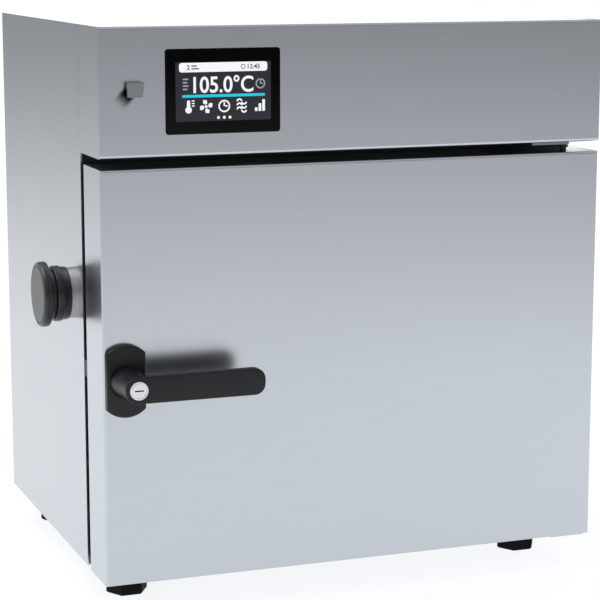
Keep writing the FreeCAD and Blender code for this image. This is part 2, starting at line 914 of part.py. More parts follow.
def door_inner_panel():
    plate = box(-half, half, door_thickness - sheet, door_thickness, door_bottom, door_top)
    wide = chamber_half - door_pressing_clear
    z0 = chamber_floor + door_pressing_clear
    z1 = chamber_roof - door_pressing_clear
    outer = rounded_box_y(-wide, wide, door_thickness - sheet, door_thickness + door_pressing_raise,
                          z0, z1, door_pressing_corner)
    outer = outer.makeChamfer(door_pressing_bevel,
                              front_outline_edges(outer, door_thickness + door_pressing_raise))
    inner = rounded_box_y(-wide + sheet, wide - sheet, door_thickness - sheet - 1,
                          door_thickness + door_pressing_raise - sheet, z0 + sheet, z1 - sheet,
                          door_pressing_corner - sheet)
    inner = inner.makeChamfer(door_pressing_bevel - sheet * (2 - math.sqrt(2)),
                              front_outline_edges(inner, door_thickness + door_pressing_raise - sheet))
    hole = rod_y(spindle_bush_r + pass_fit, handle_x, handle_z, 0, frame_y)
    return fuse([plate, outer]).cut([inner, hole])


def door_insulation():
    x0 = -half + door_wool_inset
    x1 = hinge_x - hinge_block / 2 - body_clear
    return box(x0, x1, sheet, door_thickness - sheet, door_bottom + sheet, door_top - sheet)


def hinge_blocks():
    blocks = []
    for z0 in (door_bottom + sheet, door_top - sheet - hinge_bush_long):
        block = box(hinge_x - hinge_block / 2, inner_half, hinge_y - hinge_block / 2,
                    door_thickness - sheet, z0, z0 + hinge_bush_long)
        blocks.append(block.cut(rod_z(hinge_bush_r + press_fit, hinge_x, hinge_y, z0 - 1,
                                      z0 + hinge_bush_long + 1)))
    return Part.makeCompound(blocks)


def hinge_bushes():
    long = sheet + hinge_bush_long
    bushes = []
    for z0 in (door_bottom, door_top - long):
        bush = rod_z(hinge_bush_r, hinge_x, hinge_y, z0, z0 + long)
        bore = rod_z(hinge_pin_r + running_fit, hinge_x, hinge_y, z0 - 1, z0 + long + 1)
        bushes.append(bush.cut(bore))
    return Part.makeCompound(bushes)


def lower_bracket_top():
    return door_bottom - body_clear - thrust_thick


def hinge_bracket_top():
    x0 = hinge_x - bracket_width / 2
    front = hinge_y - bracket_front
    back = frame_y + bracket_leg
    low = head_bottom + sheet
    high = low + bracket_thick
    profile = [(front, low), (frame_y, low), (frame_y, head_bottom), (back, head_bottom), (back, high),
               (front, high)]
    points = [V(x0, y, z) for y, z in profile]
    plate = Part.Face(Part.makePolygon(points + [points[0]])).extrude(V(bracket_width, 0, 0))
    return plate.cut(rod_z(hinge_pin_r, hinge_x, hinge_y, low - 1, high + 1))


def hinge_bracket_bottom():
    high = lower_bracket_top()
    low = high - bracket_thick
    web_back = frame_y + bracket_thick
    leg_x = half - flange_width
    arm = box(hinge_x - bracket_width / 2, inner_half, hinge_y - bracket_front, web_back, low, high)
    web = box(leg_x, inner_half, frame_y, web_back, low, case_bottom)
    leg = box(leg_x, inner_half, frame_y, web_back + bracket_leg, case_bottom - bracket_thick, case_bottom)
    return fuse([arm, web, leg]).cut(rod_z(hinge_pin_r, hinge_x, hinge_y, low - 1, high + 1))


def hinge_pins():
    high = head_bottom + sheet + bracket_thick
    flange_middle = (door_top + head_bottom) / 2
    upper = rod_z(hinge_pin_r, hinge_x, hinge_y, door_top - hinge_bush_long + pin_end_clear, high)
    upper_flange = rod_z(pin_flange_r, hinge_x, hinge_y, flange_middle - pin_flange_thick / 2,
                         flange_middle + pin_flange_thick / 2)
    seat = lower_bracket_top()
    lower = rod_z(hinge_pin_r, hinge_x, hinge_y, seat - bracket_thick,
                  door_bottom + hinge_bush_long - pin_end_clear)
    lower_flange = rod_z(pin_flange_r, hinge_x, hinge_y, seat, seat + thrust_thick)
    return Part.makeCompound([fuse([upper, upper_flange]), fuse([lower, lower_flange])])


# Handle, lock and latch

def escutcheon_plate():
    w = plate_width / 2
    s = plate_straight / 2
    t = plate_tall / 2

    def p(x, z):
        return V(handle_x + x, -plate_thick, handle_z + z)
    outline = Part.Wire([
        Part.LineSegment(p(-w, -s), p(-w, s)).toShape(),
        Part.Arc(p(-w, s), p(0, t), p(w, s)).toShape(),
        Part.LineSegment(p(w, s), p(w, -s)).toShape(),
        Part.Arc(p(w, -s), p(0, -t), p(-w, -s)).toShape(),
    ])
    plate = Part.Face(outline).extrude(V(0, plate_thick, 0))
    plate = plate.makeChamfer(plate_bevel, front_outline_edges(plate, -plate_thick))
    return plate.cut(rod_y(hub_neck_r + running_fit, handle_x, handle_z, -plate_thick - 1, 1))


def lever():
    t = lever_tall / 2
    r = lever_end_round
    end = handle_x + lever_long
    slant = r * math.sqrt(0.5)

    def p(x, z):
        return V(x, -lever_front, handle_z + z)
    outline = Part.Wire([
        Part.Arc(p(handle_x, t), p(handle_x - t, 0), p(handle_x, -t)).toShape(),
        Part.LineSegment(p(handle_x, -t), p(end - r, -t)).toShape(),
        Part.Arc(p(end - r, -t), p(end - r + slant, -t + r - slant), p(end, -t + r)).toShape(),
        Part.LineSegment(p(end, -t + r), p(end, t - r)).toShape(),
        Part.Arc(p(end, t - r), p(end - r + slant, t - r + slant), p(end - r, t)).toShape(),
        Part.LineSegment(p(end - r, t), p(handle_x, t)).toShape(),
    ])
    bar = Part.Face(outline).extrude(V(0, lever_thick, 0))
    e = lever_edge_bevel
    bar = bar.makeChamfer(e, front_outline_edges(bar, -lever_front))
    seat = -plate_thick - body_clear
    profile = [(0, -lever_front), (hub_front_r - e, -lever_front), (hub_front_r, -lever_front + e),
               (hub_base_r, seat), (hub_neck_r, seat),
               (hub_neck_r, sheet), (0, sheet)]
    points = [V(handle_x + a, y, handle_z) for a, y in profile]
    hub = Part.Face(Part.makePolygon(points + [points[0]])).revolve(
        V(handle_x, 0, handle_z), V(0, 1, 0), 360)
    pocket = rod_y(lock_r + lock_fit, handle_x, handle_z, -lever_front - 1, -lever_front + lock_deep)
    bore = rod_y(spindle_r + press_fit, handle_x, handle_z, -lever_front + lock_deep - 1, sheet + 1)
    return fuse([bar, hub]).cut([pocket, bore])


def lock_cylinder():
    front = -lever_front - lock_proud
    body = rod_y(lock_r, handle_x, handle_z, front, -lever_front + lock_deep - lock_end_gap)
    w = key_slot_wide / 2
    s = key_slot_long / 2
    slot = box(handle_x - s, handle_x + s, front - 1, front + key_slot_deep, handle_z - w, handle_z + w)
    return body.cut(slot)


def cam_front():
    return door_thickness + keeper_clear + keeper_sheet + 2 * cam_clear


def handle_spindle():
    seat = cam_front() + cam_thick
    rod = rod_y(spindle_r, handle_x, handle_z, -lever_front + lock_deep, seat + nut_thick)
    nut = hexagon_prism_y(nut_across / math.sqrt(3), seat, seat + nut_thick, handle_x, handle_z)
    return fuse([rod, nut])


def spindle_bush():
    y0 = door_thickness - spindle_bush_deep
    y1 = cam_front() - body_clear
    bush = rod_y(spindle_bush_r, handle_x, handle_z, y0, y1)
    return bush.cut(rod_y(spindle_r + running_fit, handle_x, handle_z, y0 - 1, y1 + 1))


def latch_cam():
    y0 = cam_front()
    hub = rod_y(cam_hub_r, handle_x, handle_z, y0, y0 + cam_thick)
    w = cam_wide / 2
    arm = box(handle_x - w, handle_x + w, y0, y0 + cam_thick, handle_z - cam_reach + w, handle_z)
    tip = rod_y(w, handle_x, handle_z - cam_reach + w, y0, y0 + cam_thick)
    bore = rod_y(spindle_r + press_fit, handle_x, handle_z, y0 - 1, y0 + cam_thick + 1)
    return fuse([hub, arm, tip]).cut(bore)


def latch_keeper():
    tip = handle_x - cam_reach
    web_x = tip - 2 * cam_clear
    lip_y = door_thickness + keeper_clear
    z0 = handle_z - keeper_tall / 2
    z1 = handle_z + keeper_tall / 2
    web = box(web_x - keeper_sheet, web_x, lip_y, frame_y, z0, z1)
    lip = box(web_x - keeper_sheet, web_x + keeper_lap, lip_y, lip_y + keeper_sheet, z0, z1)
    base = box(web_x - keeper_sheet, web_x + keeper_lap, frame_y - keeper_sheet, frame_y, z0, z1)
    return fuse([web, lip, base])


# Feet

def foot_places():
    x = half - foot_inset_side
    back = cabinet_depth - foot_inset_back
    return [(-x, foot_y_front), (x, foot_y_front), (-x, back), (x, back)]


def feet():
    group = []
    for x, y in foot_places():
        body = hexagon_prism(foot_side, x, y, 0, foot_height)
        low = [e for e in body.Edges if e.BoundBox.ZMax < 0.01]
        group.append(body.makeChamfer(foot_chamfer, low))
    return Part.makeCompound(group)


# Electronics compartment and rear fittings

def power_supply():
    x0 = supply_x - supply_wide / 2
    y0 = supply_y - supply_deep / 2
    can = box(x0, x0 + supply_wide, y0, y0 + supply_deep, head_bottom, head_bottom + supply_tall)
    slots = []
    top = head_bottom + supply_tall
    for k in range(supply_slots):
        x = x0 + supply_slot_inset + supply_slot_pitch * k
        slots.append(box(x, x + supply_slot_wide, y0 + supply_slot_margin,
                         y0 + supply_deep - supply_slot_margin, top - supply_slot_deep, top + 1))
    return can.cut(slots)


def relay_heatsink():
    x0 = relay_x - sink_deep / 2
    y0 = relay_y - sink_wide / 2
    parts = [box(x0, x0 + sink_deep, y0, y0 + sink_wide, head_bottom, head_bottom + sink_base)]
    pitch = (sink_wide - sink_fin) / (sink_fins - 1)
    for k in range(sink_fins):
        y = y0 + pitch * k
        parts.append(box(x0, x0 + sink_fin_long, y, y + sink_fin, head_bottom, head_bottom + sink_tall))
    return fuse(parts)


def heater_relay():
    return Part.makeCompound([relay_heatsink(), relay_body()])


def relay_body():
    x0 = relay_x - sink_deep / 2 + sink_fin_long + relay_from_fins
    y0 = relay_y - relay_deep / 2
    z0 = head_bottom + sink_base
    return box(x0, x0 + relay_wide, y0, y0 + relay_deep, z0, z0 + relay_tall)


def terminal_block():
    wide = terminal_ways * terminal_pitch
    x0 = terminal_x - wide / 2
    y0 = terminal_y - terminal_deep / 2
    body = box(x0, x0 + wide, y0, y0 + terminal_deep, head_bottom, head_bottom + terminal_tall)
    cuts = []
    low = head_bottom + terminal_slit_low
    for k in range(1, terminal_ways):
        x = x0 + terminal_pitch * k - terminal_slit / 2
        for y in (y0 - 1, y0 + terminal_deep - terminal_slit_deep):
            cuts.append(box(x, x + terminal_slit, y, y + terminal_slit_deep + 1,
                            low, head_bottom + terminal_tall + 1))
    return body.cut(cuts)


def at_inlet(wide, tall, y0, y1):
    return box(inlet_x - wide / 2, inlet_x + wide / 2, y0, y1, inlet_z - tall / 2, inlet_z + tall / 2)


def mains_inlet():
    face = cabinet_depth + inlet_plate_thick
    x = inlet_plate_wide / 2
    z = inlet_plate_tall / 2
    plate = rounded_box_y(inlet_x - x, inlet_x + x, cabinet_depth, face, inlet_z - z, inlet_z + z,
                          inlet_corner)
    body = at_inlet(inlet_body_wide - 2 * pass_fit, inlet_body_tall - 2 * pass_fit,
                    face - inlet_body_deep, cabinet_depth)
    floor = face - inlet_mouth_deep
    mouth = at_inlet(inlet_mouth_wide, inlet_mouth_tall, floor, face + 1)
    upper = [e for e in mouth.Edges if e.BoundBox.YLength > inlet_mouth_deep and e.BoundBox.ZMin > inlet_z]
    shell = fuse([plate, body]).cut(mouth.makeChamfer(inlet_mouth_corner, upper))
    pins = []
    for x, z in inlet_pin_places:
        pin = at_inlet(inlet_pin_wide, inlet_pin_tall, floor, floor + inlet_pin_long)
        pins.append(pin.translated(V(x, 0, z)))
    return fuse([shell] + pins)


def switch_frame():
    face = cabinet_depth + inlet_plate_thick
    x = switch_frame_wide / 2
    z = switch_frame_tall / 2
    plate = rounded_box_y(switch_x - x, switch_x + x, cabinet_depth, face, inlet_z - z, inlet_z + z,
                          switch_corner)
    x = switch_body_wide / 2 - pass_fit
    z = switch_body_tall / 2 - pass_fit
    body = box(switch_x - x, switch_x + x, face - switch_body_deep, cabinet_depth, inlet_z - z, inlet_z + z)
    pivot_y = cabinet_depth - rocker_pivot_depth()
    x = rocker_wide / 2 + rocker_clear
    z = rocker_tall / 2 + rocker_end_room
    slot = box(switch_x - x, switch_x + x, pivot_y, face + 1, inlet_z - z, inlet_z + z)
    sweep = rod_x(rocker_r + rocker_clear, pivot_y, inlet_z, switch_x - x, switch_x + x)
    room = box(switch_x - x, switch_x + x, pivot_y - rocker_room_back, face, inlet_z - z, inlet_z + z)
    x = rocker_wide / 2 + axle_hole_out
    axle_hole = rod_x(axle_r + running_fit, pivot_y, inlet_z, switch_x - x, switch_x + x)
    return fuse([plate, body]).cut([slot, sweep.common(room), axle_hole])


def rocker_pivot_depth():
    return rocker_r - rocker_proud - inlet_plate_thick


def power_rocker():
    y = cabinet_depth - rocker_pivot_depth()
    w = rocker_wide / 2
    t = rocker_tall / 2 - rocker_swing_room
    drum = rod_x(rocker_r, y, inlet_z, switch_x - w, switch_x + w)
    keep = box(switch_x - w, switch_x + w, y - rocker_back, y + rocker_r + 1, inlet_z - t, inlet_z + t)
    axle = rod_x(axle_r, y, inlet_z, switch_x - w - axle_out, switch_x + w + axle_out)
    rocker = fuse([drum.common(keep), axle])
    return rocker.rotated(V(switch_x, y, inlet_z), V(1, 0, 0), rocker_tilt)


save(side_panel_left(), "side_panel_left")
save(side_panel(), "side_panel_right")
save(top_panel(), "top_panel")
save(bottom_pan(), "bottom_pan")
save(front_frame(), "front_frame")
save(divider_plate(), "divider_plate")
save(rear_bulkhead(), "rear_bulkhead")
save(rear_cover(), "rear_cover")
save(head_housing(), "head_housing")
save(display_bezel(), "display_bezel")
save(display_module(), "display_module")
save(control_board(), "control_board")
save(inner_chamber(), "inner_chamber")
save(insulation_left(), "insulation_left")
save(insulation_right(), "insulation_right")
save(insulation_top(), "insulation_top")
save(insulation_bottom(), "insulation_bottom")
save(insulation_rear(), "insulation_rear")
save(door_seal(), "door_seal")
save(air_baffle(), "air_baffle")
save(fan_impeller(), "fan_impeller")
save(fan_shaft(), "fan_shaft")
save(fan_motor(), "fan_motor")
save(ring_heater(), "ring_heater")
save(chamber_probes(), "chamber_probes")
save(mirror_x(runner_rack()), "runner_rack_left")
save(runner_rack(), "runner_rack_right")
save(wire_shelf(runner_z(lower_shelf_runner_number)), "wire_shelf_lower")
save(wire_shelf(runner_z(upper_shelf_runner_number)), "wire_shelf_upper")
save(duct_lower(), "exhaust_duct_lower")
save(duct_upper(), "exhaust_duct_upper")
save(damper_slide(), "damper_slide")
save(damper_knob(), "damper_knob")
save(damper_guide(), "damper_guide")
save(port_tube(), "port_tube")
save(port_collar(), "port_collar")
save(port_plug(), "port_plug")
save(door_skin(), "door_skin")
save(door_inner_panel(), "door_inner_panel")
save(door_insulation(), "door_insulation")
save(hinge_blocks(), "hinge_blocks")
save(hinge_bushes(), "hinge_bushes")
save(hinge_bracket_top(), "hinge_bracket_top")
save(hinge_bracket_bottom(), "hinge_bracket_bottom")
save(hinge_pins(), "hinge_pins")
save(escutcheon_plate(), "escutcheon_plate")
save(lever(), "lever")
save(lock_cylinder(), "lock_cylinder")
save(handle_spindle(), "handle_spindle")
save(spindle_bush(), "spindle_bush")
save(latch_cam(), "latch_cam")
save(latch_keeper(), "latch_keeper")
save(feet(), "feet")
save(power_supply(), "power_supply")
save(heater_relay(), "heater_relay")
save(terminal_block(), "terminal_block")
save(mains_inlet(), "mains_inlet")
save(switch_frame(), "switch_frame")
save(power_rocker(), "power_rocker")
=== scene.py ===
import json
import math

import bmesh
import bpy
from mathutils import Matrix, Vector


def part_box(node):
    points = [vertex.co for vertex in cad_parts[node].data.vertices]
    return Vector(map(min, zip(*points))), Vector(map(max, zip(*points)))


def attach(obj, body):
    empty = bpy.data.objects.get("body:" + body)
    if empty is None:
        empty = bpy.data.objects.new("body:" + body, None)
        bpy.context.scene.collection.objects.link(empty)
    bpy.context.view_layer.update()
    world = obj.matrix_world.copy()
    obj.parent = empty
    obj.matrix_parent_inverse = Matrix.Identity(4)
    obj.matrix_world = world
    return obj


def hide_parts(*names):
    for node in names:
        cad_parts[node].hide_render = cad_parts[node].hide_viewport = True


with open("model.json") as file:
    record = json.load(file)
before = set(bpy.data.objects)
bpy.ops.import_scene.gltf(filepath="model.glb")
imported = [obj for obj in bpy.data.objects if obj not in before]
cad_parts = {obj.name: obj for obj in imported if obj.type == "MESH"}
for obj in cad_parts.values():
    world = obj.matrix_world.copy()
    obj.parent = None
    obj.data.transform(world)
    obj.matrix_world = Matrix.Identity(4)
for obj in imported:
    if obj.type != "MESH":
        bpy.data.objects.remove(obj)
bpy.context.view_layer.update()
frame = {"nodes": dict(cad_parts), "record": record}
cadNodes = frame["nodes"]
print("frame loaded:", len(cadNodes), "nodes")


def mm(value):
    return value / 1000


def linearColour(hexText):
    channels = [int(hexText[k:k + 2], 16) / 255 for k in (1, 3, 5)]
    linear = [c / 12.92 if c <= 0.04045 else ((c + 0.055) / 1.055) ** 2.4 for c in channels]
    return (*linear, 1.0)


# Adds one node: small letters are the node's own settings, capitals and numbers are its sockets
def addNode(tree, kind, settings=None, links=None):
    node = tree.nodes.new(kind)
    for key, value in (settings or {}).items():
        if isinstance(key, str) and key[0].islower():
            setattr(node, key, value)
        else:
            node.inputs[key].default_value = value
    for key, source in (links or {}).items():
        tree.links.new(source, node.inputs[key])
    return node


def newTree(name):
    material = bpy.data.materials.new(name)
    material.use_nodes = True
    material.node_tree.nodes.clear()
    return material, material.node_tree


def closeTree(tree, shader):
    addNode(tree, "ShaderNodeOutputMaterial", links={"Surface": shader.outputs[0]})


# Noise stretched by a different length along each axis, in millimetres
def stretchedNoise(tree, lengths, detail=3.0, roughness=0.6):
    place = addNode(tree, "ShaderNodeTexCoord")
    scale = addNode(tree, "ShaderNodeMapping", {"Scale": tuple(1 / mm(length) for length in lengths)},
                    {"Vector": place.outputs["Object"]})
    return addNode(tree, "ShaderNodeTexNoise",
                   {"Scale": 1.0, "Detail": detail, "Roughness": roughness},
                   {"Vector": scale.outputs[0]})


def spread(tree, source, low, high):
    return addNode(tree, "ShaderNodeMapRange", {"To Min": low, "To Max": high},
                   {"Value": source.outputs["Fac"]})


def tint(tree, source, darker, lighter):
    ends = {"data_type": "RGBA", 6: linearColour(darker), 7: linearColour(lighter)}
    mix = addNode(tree, "ShaderNodeMix", ends, {0: source.outputs["Fac"]})
    return mix.outputs[2]


# Stainless sheet, satin rolled: a soft cool sheen with hardly any grain
satinSteel = {
    "dark": "#C4C8CE",
    "light": "#C9CDD3",
    "roughness": (0.235, 0.265),
    "grainWide": 1.6,       # the rolled marks are 0.2 mm wide, too fine to show
    "grainLong": 90.0,
    "grainDepth": 0.0015,
    "cloudPatch": 140.0,
    "noiseRange": (0.4, 1.1),
}


def satinStainless(name, grain, shade=None):
    p = satinSteel
    wide, long = p["grainWide"], p["grainLong"]
    lengths = {"level": (long, long, wide), "across": (long, wide, long)}[grain]
    material, tree = newTree(name)
    streaks = stretchedNoise(tree, lengths)
    clouds = stretchedNoise(tree, (p["cloudPatch"],) * 3, 2.0)
    both = addNode(tree, "ShaderNodeMath", {"operation": "MULTIPLY_ADD", 1: 0.5},
                   {0: streaks.outputs["Fac"], 2: clouds.outputs["Fac"]})
    ends = {"From Min": p["noiseRange"][0], "From Max": p["noiseRange"][1],
            "To Min": p["roughness"][0], "To Max": p["roughness"][1]}
    level = addNode(tree, "ShaderNodeMapRange", ends, {"Value": both.outputs[0]})
    bump = addNode(tree, "ShaderNodeBump", {"Strength": 0.2, "Distance": mm(p["grainDepth"])},
                   {"Height": streaks.outputs["Fac"]})
    colour = tint(tree, streaks, p["dark"], p["light"])
    if shade:
        colour = shade(tree, colour)
    shader = addNode(tree, "ShaderNodeBsdfPrincipled", {"Metallic": 1.0},
                     {"Base Color": colour, "Roughness": level.outputs[0], "Normal": bump.outputs[0]})
    closeTree(tree, shader)
    return material


# Metal with a plain fine surface: plated, turned, cast or annealed
def plainMetal(name, dark, light, roughness, patch, depth=0.01):
    material, tree = newTree(name)
    cloud = stretchedNoise(tree, (patch, patch, patch), 4.0)
    bump = addNode(tree, "ShaderNodeBump", {"Strength": 0.2, "Distance": mm(depth)},
                   {"Height": cloud.outputs["Fac"]})
    shader = addNode(tree, "ShaderNodeBsdfPrincipled", {"Metallic": 1.0},
                     {"Base Color": tint(tree, cloud, dark, light),
                      "Roughness": spread(tree, cloud, *roughness).outputs[0], "Normal": bump.outputs[0]})
    closeTree(tree, shader)
    return material


# Plastic or rubber from a mould, or a baked coat: its grit gives a soft, broken highlight
def mouldedPlastic(name, dark, light, roughness, grit, depth, ior=1.5):
    material, tree = newTree(name)
    texture = stretchedNoise(tree, (grit, grit, grit), 2.0)
    cloud = stretchedNoise(tree, (25, 25, 25), 3.0)
    bump = addNode(tree, "ShaderNodeBump", {"Strength": 0.3, "Distance": mm(depth)},
                   {"Height": texture.outputs["Fac"]})
    shader = addNode(tree, "ShaderNodeBsdfPrincipled", {"IOR": ior},
                     {"Base Color": tint(tree, cloud, dark, light),
                      "Roughness": spread(tree, cloud, *roughness).outputs[0], "Normal": bump.outputs[0]})
    closeTree(tree, shader)
    return material


# Pressed mineral wool: matt yellow grey with short fibres lying flat
def pressedWool(name):
    material, tree = newTree(name)
    fibres = stretchedNoise(tree, (1.5, 8, 8), 4.0)
    bump = addNode(tree, "ShaderNodeBump", {"Strength": 0.8, "Distance": mm(0.8)},
                   {"Height": fibres.outputs["Fac"]})
    shader = addNode(tree, "ShaderNodeBsdfPrincipled", {"Roughness": 0.95},
                     {"Base Color": tint(tree, fibres, "#A9A07A", "#D2CBA6"), "Normal": bump.outputs[0]})
    closeTree(tree, shader)
    return material


# Back-painted float glass: black and smooth, and its anti-glare coat mirrors little
def blackGlass(name):
    material, tree = newTree(name)
    film = stretchedNoise(tree, (18, 18, 18), 3.0)
    shader = addNode(tree, "ShaderNodeBsdfPrincipled", {"Base Color": linearColour("#020203"), "IOR": 1.2},
                     {"Roughness": spread(tree, film, 0.04, 0.09).outputs[0]})
    closeTree(tree, shader)
    return material


# A lit part of the touch panel: flat light, a little uneven from cell to cell
def litPanel(name, colour, strength):
    material, tree = newTree(name)
    cells = stretchedNoise(tree, (0.5, 0.5, 0.5), 0.0)     # the real cells are 0.1 mm, too fine to show
    level = spread(tree, cells, strength * 0.96, strength * 1.04)
    paint = {"Base Color": linearColour("#020203"), "Roughness": 0.12, "Emission Color": linearColour(colour)}
    shader = addNode(tree, "ShaderNodeBsdfPrincipled", paint, {"Emission Strength": level.outputs[0]})
    closeTree(tree, shader)
    return material


# Painted shadow of the damper tab on the panel: a soft dark wedge, darkest beside the tab, fading down and to
# the left
tabShadowPaint = {
    "start": (4.0, 6.2),        # from the tab's lower left corner, in millimetres
    "lean": 47.8,
    "dark": 4.0,
    "long": 18.0,
    "wide": 6.4,
    "soft": 2.2,
    "colour": "#16171A",
}


def tabShadowOnPanel(tree, colour):
    p = tabShadowPaint
    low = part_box("damper_knob")[0]
    place = addNode(tree, "ShaderNodeTexCoord")
    start = (low.x + mm(p["start"][0]), 0, low.z + mm(p["start"][1]))
    moved = addNode(tree, "ShaderNodeVectorMath", {"operation": "SUBTRACT", 1: start},
                    {0: place.outputs["Object"]})
    lean = {"rotation_type": "Y_AXIS", "Angle": math.radians(p["lean"])}
    turned = addNode(tree, "ShaderNodeVectorRotate", lean, {"Vector": moved.outputs[0]})
    parts = addNode(tree, "ShaderNodeSeparateXYZ", links={"Vector": turned.outputs[0]})
    off = addNode(tree, "ShaderNodeMath", {"operation": "ABSOLUTE"}, {0: parts.outputs["Z"]})
    soft = mm(p["soft"])
    edges = [(parts.outputs["X"], -mm(p["long"]), -mm(p["dark"])), (parts.outputs["X"], soft * 2, 0.0),
             (off.outputs[0], mm(p["wide"]) + soft, mm(p["wide"]) - soft)]
    fades = []
    for source, start, end in edges:
        ramp = {"interpolation_type": "SMOOTHSTEP", "From Min": start, "From Max": end}
        fades.append(addNode(tree, "ShaderNodeMapRange", ramp, {"Value": source}).outputs[0])
    mask = fades[0]
    for fade in fades[1:]:
        mask = addNode(tree, "ShaderNodeMath", {"operation": "MULTIPLY"}, {0: mask, 1: fade}).outputs[0]
    # Mixes the painted shadow's colour into the steel under the mask
    mix = addNode(tree, "ShaderNodeMix", {"data_type": "RGBA", 7: linearColour(p["colour"])},
                  {0: mask, 6: colour})
    return mix.outputs[2]


slotMaterials = {
    "satin_stainless": satinStainless("satinStainlessSheet", "level"),
    "chamber_stainless": plainMetal("annealedStainlessSheet", "#B9BABC", "#CDCED0", (0.22, 0.32), 90),
    "blackened_steel": mouldedPlastic("blackOxideSteel", "#0A0A0B", "#121213", (0.4, 0.5), 0.8, 0.01),
    # Near-black sheet, which keeps the gaps round the door dark
    "black_enamel": mouldedPlastic("nearBlackSheet", "#050506", "#0A0A0B", (0.35, 0.45), 2.0, 0.01),
    "zinc_steel": plainMetal("zincPlatedSteel", "#A9ACAE", "#C4C6C4", (0.3, 0.42), 14),
    "black_handle": mouldedPlastic("glassFilledNylon", "#0B0C11", "#101218", (0.32, 0.4), 0.5, 0.02, 1.43),
    "lock_chrome": plainMetal("nickelPlatedZinc", "#D9DADC", "#E6E7E9", (0.2, 0.28), 6),
    "black_port": mouldedPlastic("mouldedPhenolic", "#222324", "#2B2C2D", (0.26, 0.34), 0.6, 0.02),
    "black_foot": mouldedPlastic("mouldedRubber", "#060607", "#0B0B0C", (0.6, 0.75), 0.8, 0.05, 1.25),
    "seal_silicone": mouldedPlastic("mouldedSilicone", "#161718", "#1F2021", (0.5, 0.62), 0.8, 0.03, 1.43),
    "screen_glass": blackGlass("backPaintedGlass"),
    "display_can": mouldedPlastic("mouldedBlackCase", "#101011", "#18181A", (0.5, 0.6), 0.7, 0.03),
    "circuit_board": mouldedPlastic("solderMaskedBoard", "#0D3A1F", "#14502B", (0.3, 0.4), 1.0, 0.01),
    "mineral_wool": pressedWool("pressedMineralWool"),
    "heater_sheath": plainMetal("oxidisedSheath", "#4A423C", "#6B6259", (0.4, 0.55), 12),
    "motor_steel": plainMetal("laminatedSteel", "#3C3F44", "#565A60", (0.4, 0.5), 8),
    "bearing_brass": plainMetal("turnedBrass", "#B48A3A", "#D0A653", (0.22, 0.32), 5),
    "aluminium_part": plainMetal("pressedAluminium", "#C2C4C6", "#D6D8DA", (0.28, 0.4), 20),
    "black_fitting": mouldedPlastic("mouldedNylonFitting", "#0B0B0C", "#121213", (0.35, 0.45), 0.6, 0.02),
    "grey_terminal": mouldedPlastic("mouldedPolyamide", "#8F8F8C", "#A3A3A0", (0.45, 0.55), 0.6, 0.02),
}
nodeMaterials = {
    "top_panel": satinStainless("satinStainlessTop", "across"),
    # The head's steel carries the damper tab's painted shadow
    "head_housing": satinStainless("satinStainlessHead", "level", tabShadowOnPanel),
    "port_tube": plainMetal("heatTintedTube", "#B2B1AF", "#C0BFBD", (0.42, 0.5), 20),
    "hinge_bracket_bottom": satinStainless("satinStainlessBracket", "level"),
    "port_collar": mouldedPlastic("mouldedCollar", "#191A1E", "#232429", (0.26, 0.34), 0.6, 0.02),
    # Painted shade: the tab is the panel's steel, given a darker colour for how its faces meet the light
    "damper_knob": plainMetal("tabSteelPaintedShade", "#9A9DA2", "#A2A5AA", (0.3, 0.36), 20),
}
slotOfNode = {part["node"]: part["material_slot"] for part in frame["record"]["subparts"]}


def dress(thing, material):
    thing.data.materials.clear()
    thing.data.materials.append(material)


for node, cadObject in cadNodes.items():
    dress(cadObject, nodeMaterials.get(node, slotMaterials[slotOfNode[node]]))
print("materials made:", len(bpy.data.materials))


# Rounds the corners of a line of points: one radius for each corner, 0 keeps it sharp
def roundCorners(points, radii, closed=False, steps=6):
    line = []
    last = len(points) - 1
    for k, (point, radius) in enumerate(zip(points, radii)):
        if radius == 0 or (not closed and k in (0, last)):
            line.append(tuple(point))
            continue
        here = Vector(point)
        before = (Vector(points[k - 1]) - here).normalized()
        after = (Vector(points[(k + 1) % len(points)]) - here).normalized()
        half = before.angle(after) / 2
        reach = radius / math.tan(half)
        middle = here + (before + after).normalized() * (radius / math.sin(half))
        start = here + before * reach - middle
        sweep = math.pi - 2 * half
        turn = 1 if start.x * (here - middle).y - start.y * (here - middle).x > 0 else -1
        for n in range(steps + 1):
            line.append(tuple(middle + Matrix.Rotation(turn * sweep * n / steps, 2) @ start))
    return line


def roundedBox(x0, x1, z0, z1, radius, steps=6):
    return roundCorners([(x0, z0), (x1, z0), (x1, z1), (x0, z1)], [radius] * 4, True, steps)


def arcPoints(cx, cz, radius, start, end, steps=24):
    angles = [math.radians(start + (end - start) * k / steps) for k in range(steps + 1)]
    return [(cx + radius * math.cos(a), cz + radius * math.sin(a)) for a in angles]


def circle(cx, cz, radius, steps=24):
    return arcPoints(cx, cz, radius, 0, 360, steps)[:-1]


def meshPiece(name, build, material, body, smoothAngle=35):
    shell = bmesh.new()
    build(shell)
    bmesh.ops.recalc_face_normals(shell, faces=shell.faces)
    data = bpy.data.meshes.new(name)
    shell.to_mesh(data)
    shell.free()
    data.shade_smooth()
    data.set_sharp_from_angle(angle=math.radians(smoothAngle))
    piece = bpy.data.objects.new(name, data)
    bpy.context.scene.collection.objects.link(piece)
    dress(piece, material)
    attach(piece, body)
    return piece


# A piece that stands for CAD nodes and keeps the slot of the first
def standIn(name, build, nodes, body, smoothAngle=35):
    slot = slotOfNode[nodes[0]]
    paint = nodeMaterials.get(nodes[0], slotMaterials[slot])
    piece = meshPiece(name, build, paint, body, smoothAngle)
    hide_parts(*nodes)
    return piece


